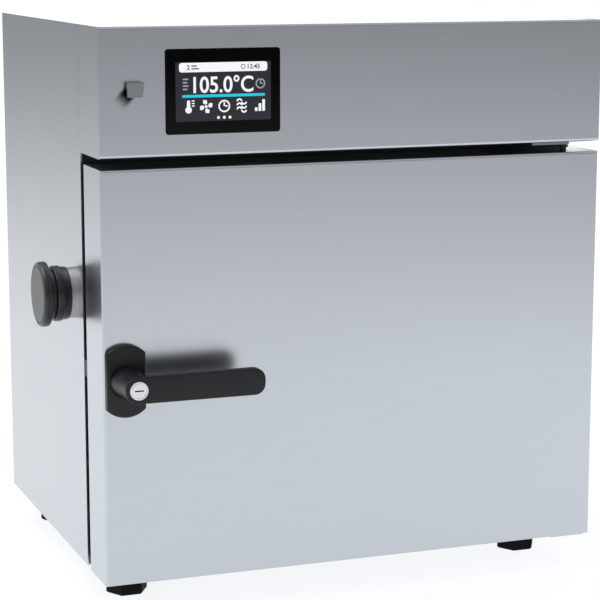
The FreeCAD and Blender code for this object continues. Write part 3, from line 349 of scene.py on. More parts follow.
# Turns a profile of (radius, distance along the axis), in metres, about a line
def turnProfile(shell, centre, axis, profile, steps=96, caps=(True, True), closed=False):
    ahead = Vector(axis)
    side = ahead.orthogonal().normalized()
    other = ahead.cross(side)
    rings = []
    for radius, along in profile:
        spot = Vector(centre) + ahead * along
        if radius < 1e-7:
            rings.append([shell.verts.new(spot)])
            continue
        rings.append([shell.verts.new(spot + (side * math.cos(a) + other * math.sin(a)) * radius)
                      for a in (2 * math.pi * k / steps for k in range(steps))])
    pairs = list(zip(rings, rings[1:]))
    if closed:
        pairs.append((rings[-1], rings[0]))
    for one, two in pairs:
        for k in range(steps):
            n = (k + 1) % steps
            corners = [one[k % len(one)], one[n % len(one)], two[n % len(two)], two[k % len(two)]]
            unique = list(dict.fromkeys(corners))
            if len(unique) > 2:
                shell.faces.new(unique)
    for ring, cap in zip((rings[0], rings[-1]), caps):
        if cap and not closed and len(ring) > 2:
            shell.faces.new(ring)
    return rings


# Pulls a closed outline inward by the same distance all round
def insetOutline(outline, distance):
    inward = []
    count = len(outline)
    area = sum(outline[k][0] * outline[(k + 1) % count][1] - outline[(k + 1) % count][0] * outline[k][1]
               for k in range(count))
    turn = 1 if area > 0 else -1
    for k in range(count):
        here = Vector(outline[k])
        a = (here - Vector(outline[k - 1])).normalized()
        b = (Vector(outline[(k + 1) % count]) - here).normalized()
        normal = Vector((-(a.y + b.y), a.x + b.x)) * turn
        if normal.length < 1e-9:
            inward.append(tuple(here))
            continue
        normal.normalize()
        lean = max(0.3, normal.dot(Vector((-a.y, a.x)) * turn))
        inward.append(tuple(here + normal * (distance / lean)))
    return inward


def upright(a, b, depth):
    return (a, depth, b)


def flat(a, b, depth):
    return (a, b, depth)


# Stacks copies of an outline: each layer is (inset, depth); a closed stack is a swept ring
def stackOutline(shell, outline, layers, place=upright, closed=False):
    rings = [[shell.verts.new(place(a, b, depth)) for a, b in insetOutline(outline, inset)]
             for inset, depth in layers]
    count = len(outline)
    pairs = list(zip(rings, rings[1:]))
    if closed:
        pairs.append((rings[-1], rings[0]))
    for one, two in pairs:
        for k in range(count):
            shell.faces.new((one[k], one[(k + 1) % count], two[(k + 1) % count], two[k]))
    if not closed:
        shell.faces.new(rings[0])
        shell.faces.new(rings[-1])
    return rings


def slab(shell, outline, front, back, place=upright):
    stackOutline(shell, outline, [(0, front), (0, back)], place)


# Layers of a slab whose edge at the first depth is a quarter round
def roundedFront(front, back, radius, steps=5):
    way = 1 if back > front else -1
    layers = []
    for k in range(steps + 1):
        a = math.pi / 2 * k / steps
        layers.append((radius * (1 - math.sin(a)), front + way * radius * (1 - math.cos(a))))
    return layers + [(0, back)]


# Handle: plate, lever with its conical hub, and the lock in the hub
handleSizes = {
    "plateEdge": 2.2,
    "plateStraight": 54.0,
    "barTall": 25.5,
    "barThick": 14.0,
    "barEdge": 1.0,
    "barBack": 6.0,
    "barEnd": 10.5,
    "hubBase": 16.5,
    "hubWaist": 13.4,
    "hubFront": 12.5,
    "hubCurve": 60.0,       # the hub's side is a little hollow, on this radius
    "hubFoot": 1.4,
    "neckRadius": 8.0,
    "neckDeep": 1.5,
    "seatGap": 0.3,
    "lockRadius": 8.8,
    "lockRing": 1.5,
    "lockGroove": 0.35,
    "lockEdge": 0.5,
    "slotLong": 9.0,
    "slotWide": 1.3,
    "slotDeep": 5.0,
}


def makeHandle():
    p = handleSizes
    lockLow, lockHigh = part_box("lock_cylinder")
    lockCentre = (lockLow + lockHigh) / 2
    cx, cz = lockCentre.x, lockCentre.z
    plateLow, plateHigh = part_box("escutcheon_plate")
    leverLow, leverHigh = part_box("lever")

    # The plate's two ends are arcs that meet its straight sides
    def buildPlate(shell):
        half = plateHigh.x - cx
        tall = plateHigh.z - cz
        rise = tall - mm(p["plateStraight"] / 2)
        radius = (half * half + rise * rise) / (2 * rise)
        reach = math.asin(half / radius)
        steps = 16
        outline = []
        for side in (1, -1):
            for k in range(steps + 1):
                a = reach - 2 * reach * k / steps
                above = tall - radius + radius * math.cos(a)
                outline.append((cx + side * radius * math.sin(a), cz + side * above))
        stackOutline(shell, outline, roundedFront(plateLow.y, plateHigh.y, mm(p["plateEdge"])))

    standIn("handlePlate", buildPlate, ["escutcheon_plate"], "door", 50)

    def buildLever(shell):
        tall = mm(p["barTall"] / 2)
        end = leverHigh.x
        front = leverLow.y
        corner = mm(p["barEnd"])
        tip = roundCorners([(cx, cz - tall), (end, cz - tall), (end, cz + tall), (cx, cz + tall)],
                           [0, corner, corner, 0], steps=12)
        steps = 24
        near = []
        for k in range(1, steps):
            a = math.pi / 2 + math.pi * k / steps
            near.append((cx + tall * math.cos(a), cz + tall * math.sin(a)))
        edge = mm(p["barEdge"])
        back = front + mm(p["barThick"])
        backEdge = roundedFront(back, front, mm(p["barBack"]), 8)[:-1]
        layers = roundedFront(front, back, edge)[:-1] + backEdge[::-1]
        stackOutline(shell, tip + near, layers)
        seat = plateLow.y - mm(p["seatGap"])
        neckEnd = plateHigh.y + mm(p["neckDeep"])
        neck = mm(p["neckRadius"])
        start = front + edge
        waist = (start + seat) / 2
        profile = roundCorners([(0.0, start), (mm(p["hubFront"]), start), (mm(p["hubWaist"]), waist),
                                (mm(p["hubBase"]), seat), (neck, seat), (neck, neckEnd), (0.0, neckEnd)],
                               [0, 0, mm(p["hubCurve"]), mm(p["hubFoot"]), 0, 0, 0])
        turnProfile(shell, (cx, 0, cz), (0, 1, 0), profile)

    standIn("leverHandle", buildLever, ["lever"], "handle", 40)

    def buildLock(shell):
        r, ring, groove, edge = (mm(p[key]) for key in ("lockRadius", "lockRing", "lockGroove", "lockEdge"))
        front, back = lockLow.y, lockHigh.y
        inner = r - ring - groove
        profile = [(inner - edge / 2, front), (inner, front + edge / 2), (inner, front + groove),
                   (r - ring, front + groove), (r - ring, front + edge / 3), (r - ring + edge / 3, front)]
        profile += roundCorners([(r - edge, front), (r, front), (r, back)], [0, edge * 0.9, 0])
        rings = turnProfile(shell, (cx, 0, cz), (0, 1, 0), profile, caps=(False, True))
        half, tall = mm(p["slotLong"] / 2), mm(p["slotWide"] / 2)
        slot = roundedBox(cx - half, cx + half, cz - tall, cz + tall, tall * 0.9, 4)
        mouth = [shell.verts.new((x, front, z)) for x, z in slot]
        floor = [shell.verts.new((v.co.x, front + mm(p["slotDeep"]), v.co.z)) for v in mouth]
        edges = []
        for loop in (rings[0], mouth):
            for one, two in zip(loop, loop[1:] + loop[:1]):
                edges.append(shell.edges.get((one, two)) or shell.edges.new((one, two)))
        bmesh.ops.triangle_fill(shell, use_beauty=True, edges=edges)
        for k in range(len(mouth)):
            n = (k + 1) % len(mouth)
            shell.faces.new((mouth[k], mouth[n], floor[n], floor[k]))
        shell.faces.new(floor)

    standIn("lockBarrel", buildLock, ["lock_cylinder"], "lock", 30)


makeHandle()
print("handle made")


# Access port: the plug with its stepped grip, and the collar behind it
portSizes = {
    "faceRadius": 27.6,
    "faceGroove": 0.9,
    "faceGrooveDeep": 0.9,
    "faceRound": 0.4,
    "faceStand": 0.3,       # how far the face stands proud of the rim
    "shoulder": 2.6,
    "shoulderRound": 1.6,
    "gripGroove": 0.35,
    "gripGrooveAt": 4.2,
    "gripLong": 8.8,
    "backBevel": 1.8,
    "tubeWall": 1.2,
    "stemFit": 0.08,
    "collarFit": 0.15,
    "collarStep": 0.6,
    "collarReach": 7.5,     # how far its ring stands out over the tube's end
    "collarRing": 7.5,
    "collarTall": 27.4,
    "collarHub": 26.6,
    "collarTail": 25.7,
    "collarRound": 2.2,
    "collarBore": 25.0,
}


def makePort():
    p = portSizes
    plugLow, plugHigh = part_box("port_plug")
    cy, cz = (plugLow.y + plugHigh.y) / 2, (plugLow.z + plugHigh.z) / 2
    rim = (plugHigh.z - plugLow.z) / 2
    tubeLow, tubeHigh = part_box("port_tube")
    stem = (tubeHigh.z - tubeLow.z) / 2 - mm(p["tubeWall"] + p["stemFit"])
    face, grooveDeep, shoulder = mm(p["faceRadius"]), mm(p["faceGrooveDeep"]), mm(p["shoulder"])
    lip = face + mm(p["faceGroove"])

    def buildPlug(shell):
        back = mm(p["gripLong"])
        bevel = mm(p["backBevel"])
        cut, at = mm(p["gripGroove"]), mm(p["gripGrooveAt"])
        soft, stand = mm(p["faceRound"]), mm(p["faceStand"])
        end = plugHigh.x - plugLow.x
        points = [(face - mm(3), 0), (face, 0), (face, grooveDeep), (lip, grooveDeep), (lip, stand),
                  (rim - shoulder / 2, stand), (rim, shoulder), (rim, at), (rim - cut, at + cut),
                  (rim - cut, at + 2 * cut), (rim, at + 3 * cut), (rim, back), (stem, back), (stem, mm(20))]
        radii = [0, soft, 0, 0, mm(0.25), mm(p["shoulderRound"] * 0.3), mm(p["shoulderRound"]), 0,
                 mm(0.2), mm(0.2), 0, bevel, soft, 0]
        profile = [(0.0, 0.0)] + roundCorners(points, radii) + [(stem, end), (0.0, end)]
        turnProfile(shell, (plugLow.x, cy, cz), (1, 0, 0), profile, steps=128)

    standIn("accessPlug", buildPlug, ["port_plug"], "plug", 40)

    def buildCollar(shell):
        low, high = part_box("port_collar")
        start = low.x - mm(p["collarReach"])
        outer, hub, tail, bore = (mm(p["collar" + key]) for key in ("Tall", "Hub", "Tail", "Bore"))
        ring, end, soft = mm(p["collarRing"]), high.x - start, mm(p["collarRound"])
        inner = stem + mm(p["collarFit"])
        step, fall = low.x - start, mm(p["collarStep"])
        profile = roundCorners([(inner, 0), (outer, 0), (outer, ring), (hub, ring + fall), (tail, end),
                                (bore, end), (bore, step), (inner, step)],
                               [0, soft, soft / 2, fall, mm(0.3), 0, 0, 0], True)
        turnProfile(shell, (start, cy, cz), (1, 0, 0), profile, steps=128, closed=True)

    standIn("portCollar", buildCollar, ["port_collar"], "cabinet", 40)


makePort()
print("access port made")


# Damper tab: a small folded sheet, its right edge cut aslant
tabSizes = {
    "low": 1.8,
    "high": 15.6,
    "slant": 1.8,
    "fold": 1.6,
    "crease": 0.56,
    "edge": 0.45,
}


def makeTab():
    p = tabSizes
    low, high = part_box("damper_knob")
    foot, top = low.z + mm(p["low"]), low.z + mm(p["high"])
    crease = low.x + (high.x - low.x) * p["crease"]
    fold = mm(p["fold"])

    def build(shell):
        loops = []
        for z, right in ((foot, high.x - mm(p["slant"])), (top, high.x)):
            corners = [(low.x, high.y), (low.x, low.y + fold), (crease, low.y), (right, low.y + fold / 2),
                       (right, high.y)]
            loops.append([shell.verts.new((x, y, z)) for x, y in corners])
        count = len(loops[0])
        for k in range(count):
            n = (k + 1) % count
            shell.faces.new((loops[0][k], loops[0][n], loops[1][n], loops[1][k]))
        shell.faces.new(loops[0])
        shell.faces.new(loops[1])
        bmesh.ops.bevel(shell, geom=shell.edges[:] + shell.verts[:], offset=mm(p["edge"]), segments=2,
                        affect="EDGES")

    standIn("damperTab", build, ["damper_knob"], "damper", 30)


makeTab()
print("damper tab made")


# Hinge plate under the control head, where the upper pin stands
plateSizes = {
    "left": 40.0,
    "right": 2.0,
    "front": 10.0,
    "back": 34.0,
    "corner": 2.0,
    "high": 0.1,            # the gap between the plate and the head
    "thick": 2.6,
}
hingePlateSteel = plainMetal("phosphatedSteel", "#888B90", "#94979B", (0.4, 0.5), 12)


def makeHingePlate():
    p = plateSizes
    low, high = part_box("hinge_pins")
    x, y = (low.x + high.x) / 2, (low.y + high.y) / 2
    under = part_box("head_housing")[0].z

    def build(shell):
        outline = roundedBox(x - mm(p["left"]), x + mm(p["right"]), y - mm(p["front"]), y + mm(p["back"]),
                             mm(p["corner"]))
        slab(shell, outline, under - mm(p["high"]), under - mm(p["high"] + p["thick"]), flat)

    meshPiece("hingePlateUpper", build, hingePlateSteel, "cabinet")


makeHingePlate()
print("hinge plate made")


# Display: black glass with the picture's lit parts lying on it, as thin as print
displaySizes = {
    "glassCorner": 3.0,
    "glassEdge": 0.6,
    "screenWide": 94.0,
    "screenLow": -27.9,
    "screenHigh": 27.2,
    "layer": 0.02,          # print is 0.01 mm thick; each layer stands this far off the last
    "headerLow": 18.0,
    "headerSide": 3.5,
    "headerRound": 2.4,
    "smallTall": 4.2,
    "smallLow": 20.4,
    "capitals": 0.69,       # the font's capitals are this share of its size
    "figures": "105.0°C",
    "figureTall": 14.4,
    "figureLeft": -29.6,
    "figureWide": 59.2,
    "figureLow": -1.0,
    "figureBold": 0.34,
    "smallBold": 0.12,
    "barLeft": -40.5,
    "barRight": 41.0,
    "barLow": -5.6,
    "barHigh": -3.0,
    "iconMiddle": -14.2,
    "dots": (-5.2, 0.5, 6.2),
    "dotLow": -24.8,
    "dotRadius": 1.4,
}
screenPaints = {
    "screen": litPanel("unlitCells", "#1D1D27", 1.0),
    "white": litPanel("litWhiteCells", "#F4F6F8", 1.0),
    "grey": litPanel("litGreyCells", "#9DA2AC", 1.0),
    "cyan": litPanel("litCyanCells", "#1CC5DD", 1.0),
    "dark": litPanel("darkCells", "#20242C", 1.0),
}


def bar(x0, x1, z0, z1, radius=0.4):
    return roundedBox(x0, x1, z0, z1, radius, 3)


def arcBand(cx, cz, radius, wide, start, end, steps=28):
    return (arcPoints(cx, cz, radius + wide / 2, start, end, steps)
            + arcPoints(cx, cz, radius - wide / 2, end, start, steps))


# One line of figures as flat faces of Blender's own font, from its left end
def letterMesh(text, tall, x, z, bold=0.0, wide=None):
    curve = bpy.data.curves.new("figures", "FONT")
    curve.body = text
    curve.size = mm(tall) / displaySizes["capitals"]
    curve.offset = mm(bold)
    curve.resolution_u = 6
    holder = bpy.data.objects.new("figures", curve)
    bpy.context.scene.collection.objects.link(holder)
    bpy.context.view_layer.update()
    data = bpy.data.meshes.new_from_object(holder.evaluated_get(bpy.context.evaluated_depsgraph_get()))
    bpy.data.objects.remove(holder)
    bpy.data.curves.remove(curve)
    left = min(v.co.x for v in data.vertices)
    right = max(v.co.x for v in data.vertices)
    squeeze = mm(wide) / (right - left) if wide else 1.0
    for v in data.vertices:
        v.co = ((v.co.x - left) * squeeze + mm(x), 0, v.co.y + mm(z))
    return data


def makeDisplay():
    p = displaySizes
    low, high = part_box("display_bezel")
    cx, cz = (low.x + high.x) / 2, (low.z + high.z) / 2
    front = low.y

    def buildGlass(shell):
        outline = roundedBox(low.x, high.x, low.z, high.z, mm(p["glassCorner"]), 8)
        stackOutline(shell, outline, roundedFront(front, high.y, mm(p["glassEdge"]), 3))

    standIn("bezelGlass", buildGlass, ["display_bezel"], "cabinet", 50)

    def printed(name, outlines, paint, layer):
        def build(shell):
            for outline in outlines:
                placed = [(cx + mm(x), cz + mm(z)) for x, z in outline]
                near = front - mm(p["layer"]) * layer
                slab(shell, placed, near, front - mm(p["layer"]) * (layer - 0.5))
        return meshPiece(name, build, screenPaints[paint], "cabinet")

    def lettered(name, pieces, paint, layer):
        def build(shell):
            for data in pieces:
                shell.from_mesh(data)
                bpy.data.meshes.remove(data)
            bmesh.ops.remove_doubles(shell, verts=shell.verts, dist=mm(0.005))
            grown = bmesh.ops.extrude_face_region(shell, geom=list(shell.faces))["geom"]
            moved = [v for v in grown if isinstance(v, bmesh.types.BMVert)]
            bmesh.ops.translate(shell, verts=moved, vec=(0, mm(p["layer"]) * 0.5, 0))
            bmesh.ops.translate(shell, verts=shell.verts, vec=(cx, front - mm(p["layer"]) * layer, cz))
        return meshPiece(name, build, screenPaints[paint], "cabinet")

    half = p["screenWide"] / 2
    side = half - p["headerSide"]
    printed("screenField", [bar(-half, half, p["screenLow"], p["screenHigh"], 0.3)], "screen", 1)
    header = bar(-side, side, p["headerLow"], p["screenHigh"] - 0.4, p["headerRound"])
    printed("screenHeader", [header], "white", 2)
    figures = letterMesh(p["figures"], p["figureTall"], p["figureLeft"], p["figureLow"], p["figureBold"],
                         p["figureWide"])
    lettered("screenFigures", [figures], "white", 2)
    printed("screenBar", [bar(p["barLeft"], p["barRight"], p["barLow"], p["barHigh"])], "cyan", 2)
    scale = [bar(-40, -35.5 + k % 2, 1.6 + 3.1 * k, 2.9 + 3.1 * k, 0.3) for k in range(4)]
    printed("screenScale", scale, "grey", 2)
    dial = [arcBand(36.6, 6.2, 4.2, 1.2, 100, 440), bar(36.1, 37.1, 6.2, 10.6, 0.3),
            bar(36.4, 39.2, 5.7, 6.6, 0.3)]
    printed("screenDial", dial, "grey", 2)
    m = p["iconMiddle"]
    thermometer = [arcPoints(-34.5, m - 2.9, 3.2, 120, 420) + arcPoints(-34.5, m + 4.6, 1.6, 0, 180, 12)]
    thermometer += [bar(-31.4, -28.6, m + z, m + z + 1.1, 0.3) for z in (0.2, 2.6, 5.0)]
    fan = [circle(0, 0, 1.4)]
    blade = [(1.7, 0.5), (3.2, 3.2), (6.2, 3.0), (5.9, -0.6), (3.0, -1.1)]
    for turn in (0, 90, 180, 270):
        c, s = math.cos(math.radians(turn)), math.sin(math.radians(turn))
        fan.append([(x * c - z * s, x * s + z * c) for x, z in blade])
    fan = [[(x - 17.2, z + m) for x, z in outline] for outline in fan]
    clock = [arcBand(0.6, m, 5.1, 1.5, 0, 359.5, 48), bar(-0.1, 1.3, m, m + 3.6, 0.3),
             bar(1.5, 3.8, m - 0.7, m + 0.7, 0.3)]
    waves = []
    for z in (m + 3.8, m, m - 3.8):
        waves.append(arcBand(15.6, z, 2.3, 1.5, 10, 170, 14))
        waves.append(arcBand(20.2, z, 2.3, 1.5, 190, 350, 14))
    bars = [bar(31.0 + 3.7 * k, 33.7 + 3.7 * k, m - 5.6, m - 2.2 + 3.8 * k, 0.4) for k in range(3)]
    printed("screenIcons", thermometer + fan + clock + waves + bars, "white", 2)
    printed("screenDots", [circle(x, p["dotLow"], p["dotRadius"], 20) for x in p["dots"]], "white", 2)
    small = [letterMesh(text, p["smallTall"], x, p["smallLow"], p["smallBold"])
             for text, x in (("12:45", 24), ("2", -36))]
    lettered("screenSmallFigures", small, "dark", 3)
    marks = [arcBand(19.5, 22.4, 2.0, 0.7, 0, 359.5, 24), bar(-31.5, -24.0, 20.6, 21.7, 0.3),
             bar(-31.5, -26.0, 23.2, 24.3, 0.3)]
    printed("screenHeaderMarks", marks, "dark", 3)


makeDisplay()
print("display made")


# Feet: hexagons of rubber, a little wider and further forward than their moulded cores
footSizes = {
    "side": 21.2,
    "forward": 11.0,
    "chamfer": 1.6,
    "coreWide": 19.4,       # half width and half depth of the moulded core
    "coreDeep": 16.8,
}


def makeFeet():
    p = footSizes
    low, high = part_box("feet")

    def build(shell):
        for x in (low.x, high.x):
            for y in (low.y, high.y):
                side = 1 if x > low.x else -1
                deep = 1 if y > low.y else -1
                cx = x - side * mm(p["coreWide"])
                cy = y - deep * mm(p["coreDeep"]) - mm(p["forward"])
                hexagon = circle(cx, cy, mm(p["side"]), 6)
                layers = [(mm(p["chamfer"]), 0), (0, mm(p["chamfer"])), (0, high.z)]
                stackOutline(shell, hexagon, layers, flat)

    standIn("rubberFeet", build, ["feet"], "cabinet", 20)


makeFeet()
print("feet made")


# Wire shelves: a round rim, the wires laid across it and two cross wires under them
shelfSizes = {
    "rim": 3.0,
    "rimCorner": 9.0,
    "wire": 1.5,
    "wires": 14,
    "crossWires": 2,
}


def rod(shell, start, end, radius, steps=12):
    way = Vector(end) - Vector(start)
    edge = radius * 0.4
    profile = [(radius - edge, 0), (radius, edge), (radius, way.length - edge), (radius - edge, way.length)]
    turnProfile(shell, start, way.normalized(), profile, steps)


def makeShelf(name, node):
    p = shelfSizes
    low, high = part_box(node)
    rim, wire = mm(p["rim"]), mm(p["wire"])
    middle = low.z + rim

    def build(shell):
        outline = roundedBox(low.x, high.x, low.y, high.y, mm(p["rimCorner"]), 6)
        section = [(rim - rim * math.cos(a), middle + rim * math.sin(a))
                   for a in (math.radians(30 * k) for k in range(12))]
        stackOutline(shell, outline, section, flat, True)
        span = high.x - low.x - 4 * rim
        for k in range(p["wires"]):
            x = low.x + 2 * rim + span * (k + 0.5) / p["wires"]
            rod(shell, (x, low.y + rim, middle + wire), (x, high.y - rim, middle + wire), wire)
        for k in range(p["crossWires"]):
            y = low.y + (high.y - low.y) * (k + 1) / (p["crossWires"] + 1)
            rod(shell, (low.x + rim, y, middle - wire), (high.x - rim, y, middle - wire), wire)

    standIn(name, build, [node], "cabinet", 50)


makeShelf("shelfLower", "wire_shelf_lower")
makeShelf("shelfUpper", "wire_shelf_upper")
print("shelves made")


# Door seal: a soft bead with a flat foot and two ribs
sealSizes = {
    "corner": 24.0,
    "wide": 16.0,
    "tall": 11.2,
    "ribTop": 5.2,
    "waist": 8.2,
    "soft": 1.5,
    "valley": 1.2,
}


def makeSeal():
    p = sealSizes
    low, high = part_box("door_seal")
    wide, top, waist = mm(p["wide"]), high.y, high.y - mm(p["tall"] - p["waist"])

    def build(shell):
        outline = roundedBox(low.x, high.x, low.z, high.z, mm(p["corner"]), 10)
        rib, soft = mm(p["ribTop"]), mm(p["soft"])
        section = roundCorners([(0, low.y), (0, waist), (rib / 2, top), (rib, top), (wide / 2, waist),
                                (wide - rib, top), (wide - rib / 2, top), (wide, waist), (wide, low.y)],
                               [0, soft, soft, soft, mm(p["valley"]), soft, soft, soft, 0], True, 4)
        stackOutline(shell, outline, section, closed=True)

    standIn("doorSealBead", build, ["door_seal"], "door", 50)


makeSeal()
print("seal made")


# Screws: button heads with a hexagon socket
screwSizes = {
    "radius": 3.8,
    "tall": 2.0,
    "socket": 1.45,
    "deep": 1.2,
    "inset": 9.0,
    "perSide": 4,
    "inletInset": 4.6,
    "inletRadius": 2.6,
    "inletTall": 1.2,
}


def screwHead(shell, place, axis, radius, tall):
    p = screwSizes
    ahead = Vector(axis)
    side = ahead.orthogonal().normalized()
    other = ahead.cross(side)
    steps = 24
    share = radius / mm(p["radius"])
    hexRadius = mm(p["socket"]) * share
    profile = [(radius, -mm(0.02), 0), (radius, tall * 0.25, 0), (radius * 0.86, tall * 0.68, 0),
               (radius * 0.62, tall * 0.94, 0), (hexRadius * 1.25, tall, 0), (hexRadius, tall, 1),
               (hexRadius, tall - mm(p["deep"]) * share, 1)]
    rings = []
    for size, along, hexagon in profile:
        ring = []
        for k in range(steps):
            a = 2 * math.pi * k / steps
            reach = size / math.cos((a % (math.pi / 3)) - math.pi / 6) if hexagon else size
            out = side * math.cos(a) + other * math.sin(a)
            ring.append(shell.verts.new(Vector(place) + ahead * along + out * reach))
        rings.append(ring)
    for one, two in zip(rings, rings[1:]):
        for k in range(steps):
            n = (k + 1) % steps
            shell.faces.new((one[k], one[n], two[n], two[k]))
    shell.faces.new(rings[0])
    shell.faces.new(rings[-1])


def makeScrews():
    p = screwSizes
    radius, tall, inset = mm(p["radius"]), mm(p["tall"]), mm(p["inset"])
    low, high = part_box("rear_cover")

    def buildRear(shell):
        for x in (low.x + inset, high.x - inset):
            for k in range(p["perSide"]):
                z = low.z + inset + (high.z - low.z - 2 * inset) * k / (p["perSide"] - 1)
                screwHead(shell, (x, high.y, z), (0, 1, 0), radius, tall)
        for z in (low.z + inset, high.z - inset):
            screwHead(shell, ((low.x + high.x) / 2, high.y, z), (0, 1, 0), radius, tall)

    meshPiece("rearCoverScrews", buildRear, slotMaterials["zinc_steel"], "cabinet")
    frameLow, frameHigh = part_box("mains_inlet")

    def buildInlet(shell):
        middle = (frameLow.z + frameHigh.z) / 2
        for x in (frameLow.x + mm(p["inletInset"]), frameHigh.x - mm(p["inletInset"])):
            screwHead(shell, (x, frameHigh.y, middle), (0, 1, 0), mm(p["inletRadius"]), mm(p["inletTall"]))

    meshPiece("inletScrews", buildInlet, slotMaterials["zinc_steel"], "cabinet")


makeScrews()
print("screws made")


# Marks on the rocker, printed round its curved face
rockerSizes = {
    "radius": 12.0,
    "lean": 12.0,
    "apart": 5.4,
    "print": 0.05,
}


def makeRockerMarks():
    p = rockerSizes
    low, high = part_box("power_rocker")
    radius = mm(p["radius"])
    x = (low.x + high.x) / 2
    frameLow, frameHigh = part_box("switch_frame")
    z = (frameLow.z + frameHigh.z) / 2
    y = high.y - radius

    def onFace(a, b, depth):
        turn = b / radius + math.radians(p["lean"])
        return (x + a, y + depth * math.cos(turn), z + depth * math.sin(turn))

    def build(shell):
        face = [(0, radius - mm(0.02)), (0, radius + mm(p["print"]))]
        for outline in (bar(-0.5, 0.5, p["apart"] - 1.9, p["apart"] + 1.9, 0.2),
                        arcBand(0, -p["apart"], 1.6, 0.8, 0, 359.5, 32)):
            stackOutline(shell, [(mm(a), mm(b)) for a, b in outline], face, onFace)

    ink = mouldedPlastic("whitePadInk", "#DCDCDA", "#E6E6E4", (0.5, 0.6), 1.0, 0.005)
    meshPiece("rockerMarks", build, ink, "rocker")


makeRockerMarks()
print("rocker marks made")


# Floor, light and reflections: a white floor in a grey room that only the steel sees
studio = {
    "floorColour": "#707070",
    "floorGlow": 0.89,
    "floorTint": (0.965, 0.985, 1.0, 1),
    "rightLift": 1.10,      # the floor glows a little more to the right of the oven
    "rightRise": (0.1, 0.9),
    "cornerLift": 1.12,     # and in front of its left corner
    "cornerAhead": (0.0, -0.4),
    "cornerLeft": (-0.25, -0.5),
    "floorHalf": 6,
    "wallFoot": 0.001,
    "worldLight": 0.75,
    "roomRadius": 1.6,
    "roomTall": 2.2,
    "frontWall": (-160, 50),
    "frontGlow": (1.0, 0.29, 0.59),     # at the floor, above, and the height where it stops falling
    "sideWall": (95, 200),
    "sideGlow": (1.0, 0.38, 0.55),
    "backCard": (50, 95),
    "backCardRise": (0.5, 1.3),
    "backGlow": 1.45,
    "upperLift": 0.3,       # the walls are lighter again above the oven
    "upperRise": (0.9, 1.4),
    "cardTint": (0.97, 0.985, 1.0, 1),
    "ceilingGlow": 0.3,
    "softboxSize": 1.8,
    "softboxPower": 28.0,
    "softboxPlace": (-0.9, 0.3, 2.2),
    "softboxAim": (0, 0, 0.2),
}


def seenRays(tree):
    rays = addNode(tree, "ShaderNodeLightPath")
    one = addNode(tree, "ShaderNodeMath", {"operation": "MAXIMUM"},
                  {0: rays.outputs["Is Camera Ray"], 1: rays.outputs["Is Glossy Ray"]})
    return addNode(tree, "ShaderNodeMath", {"operation": "MAXIMUM"},
                   {0: one.outputs[0], 1: rays.outputs["Is Transmission Ray"]})


def stageMesh(name, corners, faces, material):
    data = bpy.data.meshes.new(name)
    data.from_pydata(corners, [], faces)
    thing = bpy.data.objects.new(name, data)
    bpy.context.scene.collection.objects.link(thing)
    dress(thing, material)
    return thing


def glossyOnly(thing):
    for ray in ("camera", "diffuse", "transmission", "shadow", "volume_scatter"):
        setattr(thing, "visible_" + ray, False)


def ramp(tree, source, start, end, low, high, curve="LINEAR"):
    ends = {"interpolation_type": curve, "From Min": start, "From Max": end, "To Min": low, "To Max": high}
    return addNode(tree, "ShaderNodeMapRange", ends, {"Value": source}).outputs[0]


# A card whose light changes from its foot to the given height
def cardPaint(name, foot, above, height, curve="LINEAR"):
    material, tree = newTree(name)
    place = addNode(tree, "ShaderNodeTexCoord")
    parts = addNode(tree, "ShaderNodeSeparateXYZ", links={"Vector": place.outputs["Object"]})
    lower = ramp(tree, parts.outputs["Z"], 0.0, height, foot, above, curve)
    upper = ramp(tree, parts.outputs["Z"], *studio["upperRise"], 0.0, studio["upperLift"])
    level = addNode(tree, "ShaderNodeMath", {"operation": "ADD"}, {0: lower, 1: upper})
    glow = addNode(tree, "ShaderNodeEmission", {"Color": studio["cardTint"]}, {"Strength": level.outputs[0]})
    closeTree(tree, glow)
    return material


def curvedWall(name, sector, low, high, material):
    radius = studio["roomRadius"]
    steps = 24
    corners = []
    for k in range(steps + 1):
        a = math.radians(sector[0] + (sector[1] - sector[0]) * k / steps)
        corners += [(radius * math.cos(a), radius * math.sin(a), z) for z in (low, high)]
    faces = [(2 * k, 2 * k + 2, 2 * k + 3, 2 * k + 1) for k in range(steps)]
    glossyOnly(stageMesh(name, corners, faces, material))


def levelSquare(name, half, high, material):
    corners = [(-half, -half, high), (half, -half, high), (half, half, high), (-half, half, high)]
    return stageMesh(name, corners, [(0, 1, 2, 3)], material)


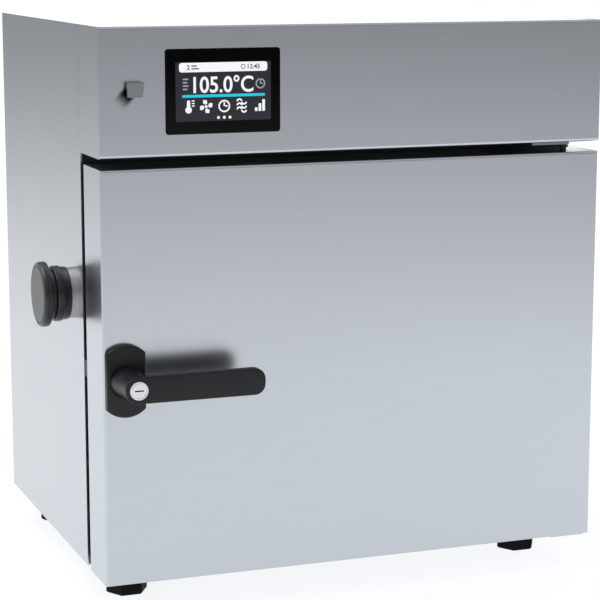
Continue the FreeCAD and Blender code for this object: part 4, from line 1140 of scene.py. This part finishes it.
def makeStudio():
    p = studio
    world = bpy.data.worlds.new("whiteStudio")
    bpy.context.scene.world = world
    world.use_nodes = True
    tree = world.node_tree
    tree.nodes.clear()
    seen = seenRays(tree)
    level = ramp(tree, seen.outputs[0], 0.0, 1.0, p["worldLight"], 1.0)
    sky = addNode(tree, "ShaderNodeBackground", {"Color": (1, 1, 1, 1)}, {"Strength": level})
    addNode(tree, "ShaderNodeOutputWorld", links={"Surface": sky.outputs[0]})

    material, tree = newTree("mattWhiteFloor")
    paint = addNode(tree, "ShaderNodeBsdfDiffuse", {"Color": linearColour(p["floorColour"])})
    place = addNode(tree, "ShaderNodeTexCoord")
    parts = addNode(tree, "ShaderNodeSeparateXYZ", links={"Vector": place.outputs["Object"]})
    right = ramp(tree, parts.outputs["X"], *p["rightRise"], p["floorGlow"], p["floorGlow"] * p["rightLift"])
    ahead = ramp(tree, parts.outputs["Y"], *p["cornerAhead"], 0.0, 1.0)
    left = ramp(tree, parts.outputs["X"], *p["cornerLeft"], 0.0, 1.0)
    corner = addNode(tree, "ShaderNodeMath", {"operation": "MULTIPLY"}, {0: ahead, 1: left})
    lift = ramp(tree, corner.outputs[0], 0.0, 1.0, 1.0, p["cornerLift"])
    lifted = addNode(tree, "ShaderNodeMath", {"operation": "MULTIPLY"}, {0: right, 1: lift})
    level = addNode(tree, "ShaderNodeMath", {"operation": "MULTIPLY"},
                    {0: lifted.outputs[0], 1: seenRays(tree).outputs[0]})
    glow = addNode(tree, "ShaderNodeEmission", {"Color": p["floorTint"]}, {"Strength": level.outputs[0]})
    both = addNode(tree, "ShaderNodeAddShader", links={0: paint.outputs[0], 1: glow.outputs[0]})
    closeTree(tree, both)
    levelSquare("floor", p["floorHalf"], 0, material)

    foot, top = p["wallFoot"], p["roomTall"]
    curvedWall("frontWall", p["frontWall"], foot, top, cardPaint("frontCard", *p["frontGlow"]))
    curvedWall("sideWall", p["sideWall"], foot, top, cardPaint("sideCard", *p["sideGlow"], "SMOOTHSTEP"))
    backPaint = cardPaint("backCard", p["backGlow"], p["backGlow"], 1)
    curvedWall("backCard", p["backCard"], *p["backCardRise"], backPaint)
    ceilingPaint = cardPaint("ceilingCard", p["ceilingGlow"], p["ceilingGlow"], 1)
    glossyOnly(levelSquare("ceilingCard", p["roomRadius"], top, ceilingPaint))

    lamp = bpy.data.lights.new("softbox", "AREA")
    lamp.size = p["softboxSize"]
    lamp.energy = p["softboxPower"]
    light = bpy.data.objects.new("softbox", lamp)
    light.location = p["softboxPlace"]
    light.rotation_euler = (Vector(p["softboxAim"]) - light.location).to_track_quat("-Z", "Y").to_euler()
    bpy.context.scene.collection.objects.link(light)


makeStudio()
print("studio made")


# Camera, solved from the cabinet's edges in the photograph
cameraView = {
    "place": (-0.72360, -1.99288, 0.64315),
    "yaw": 20.663,
    "pitch": 10.159,
    "roll": 0.027,
    "lens": 121.597,
    "shift": (-0.00697, 0.00748),
}


def makeCamera():
    p = cameraView
    lens = bpy.data.cameras.new("camera")
    lens.lens = p["lens"]
    lens.sensor_width = 36
    lens.shift_x, lens.shift_y = p["shift"]
    lens.clip_end = 50
    camera = bpy.data.objects.new("camera", lens)
    turn = Matrix.Rotation(math.radians(-p["yaw"]), 4, "Z")
    turn = turn @ Matrix.Rotation(math.radians(90 - p["pitch"]), 4, "X")
    turn = turn @ Matrix.Rotation(math.radians(p["roll"]), 4, "Z")
    camera.matrix_world = Matrix.Translation(p["place"]) @ turn
    bpy.context.scene.collection.objects.link(camera)
    bpy.context.scene.camera = camera


makeCamera()
bpy.context.scene.view_settings.view_transform = "Standard"
print("camera made")
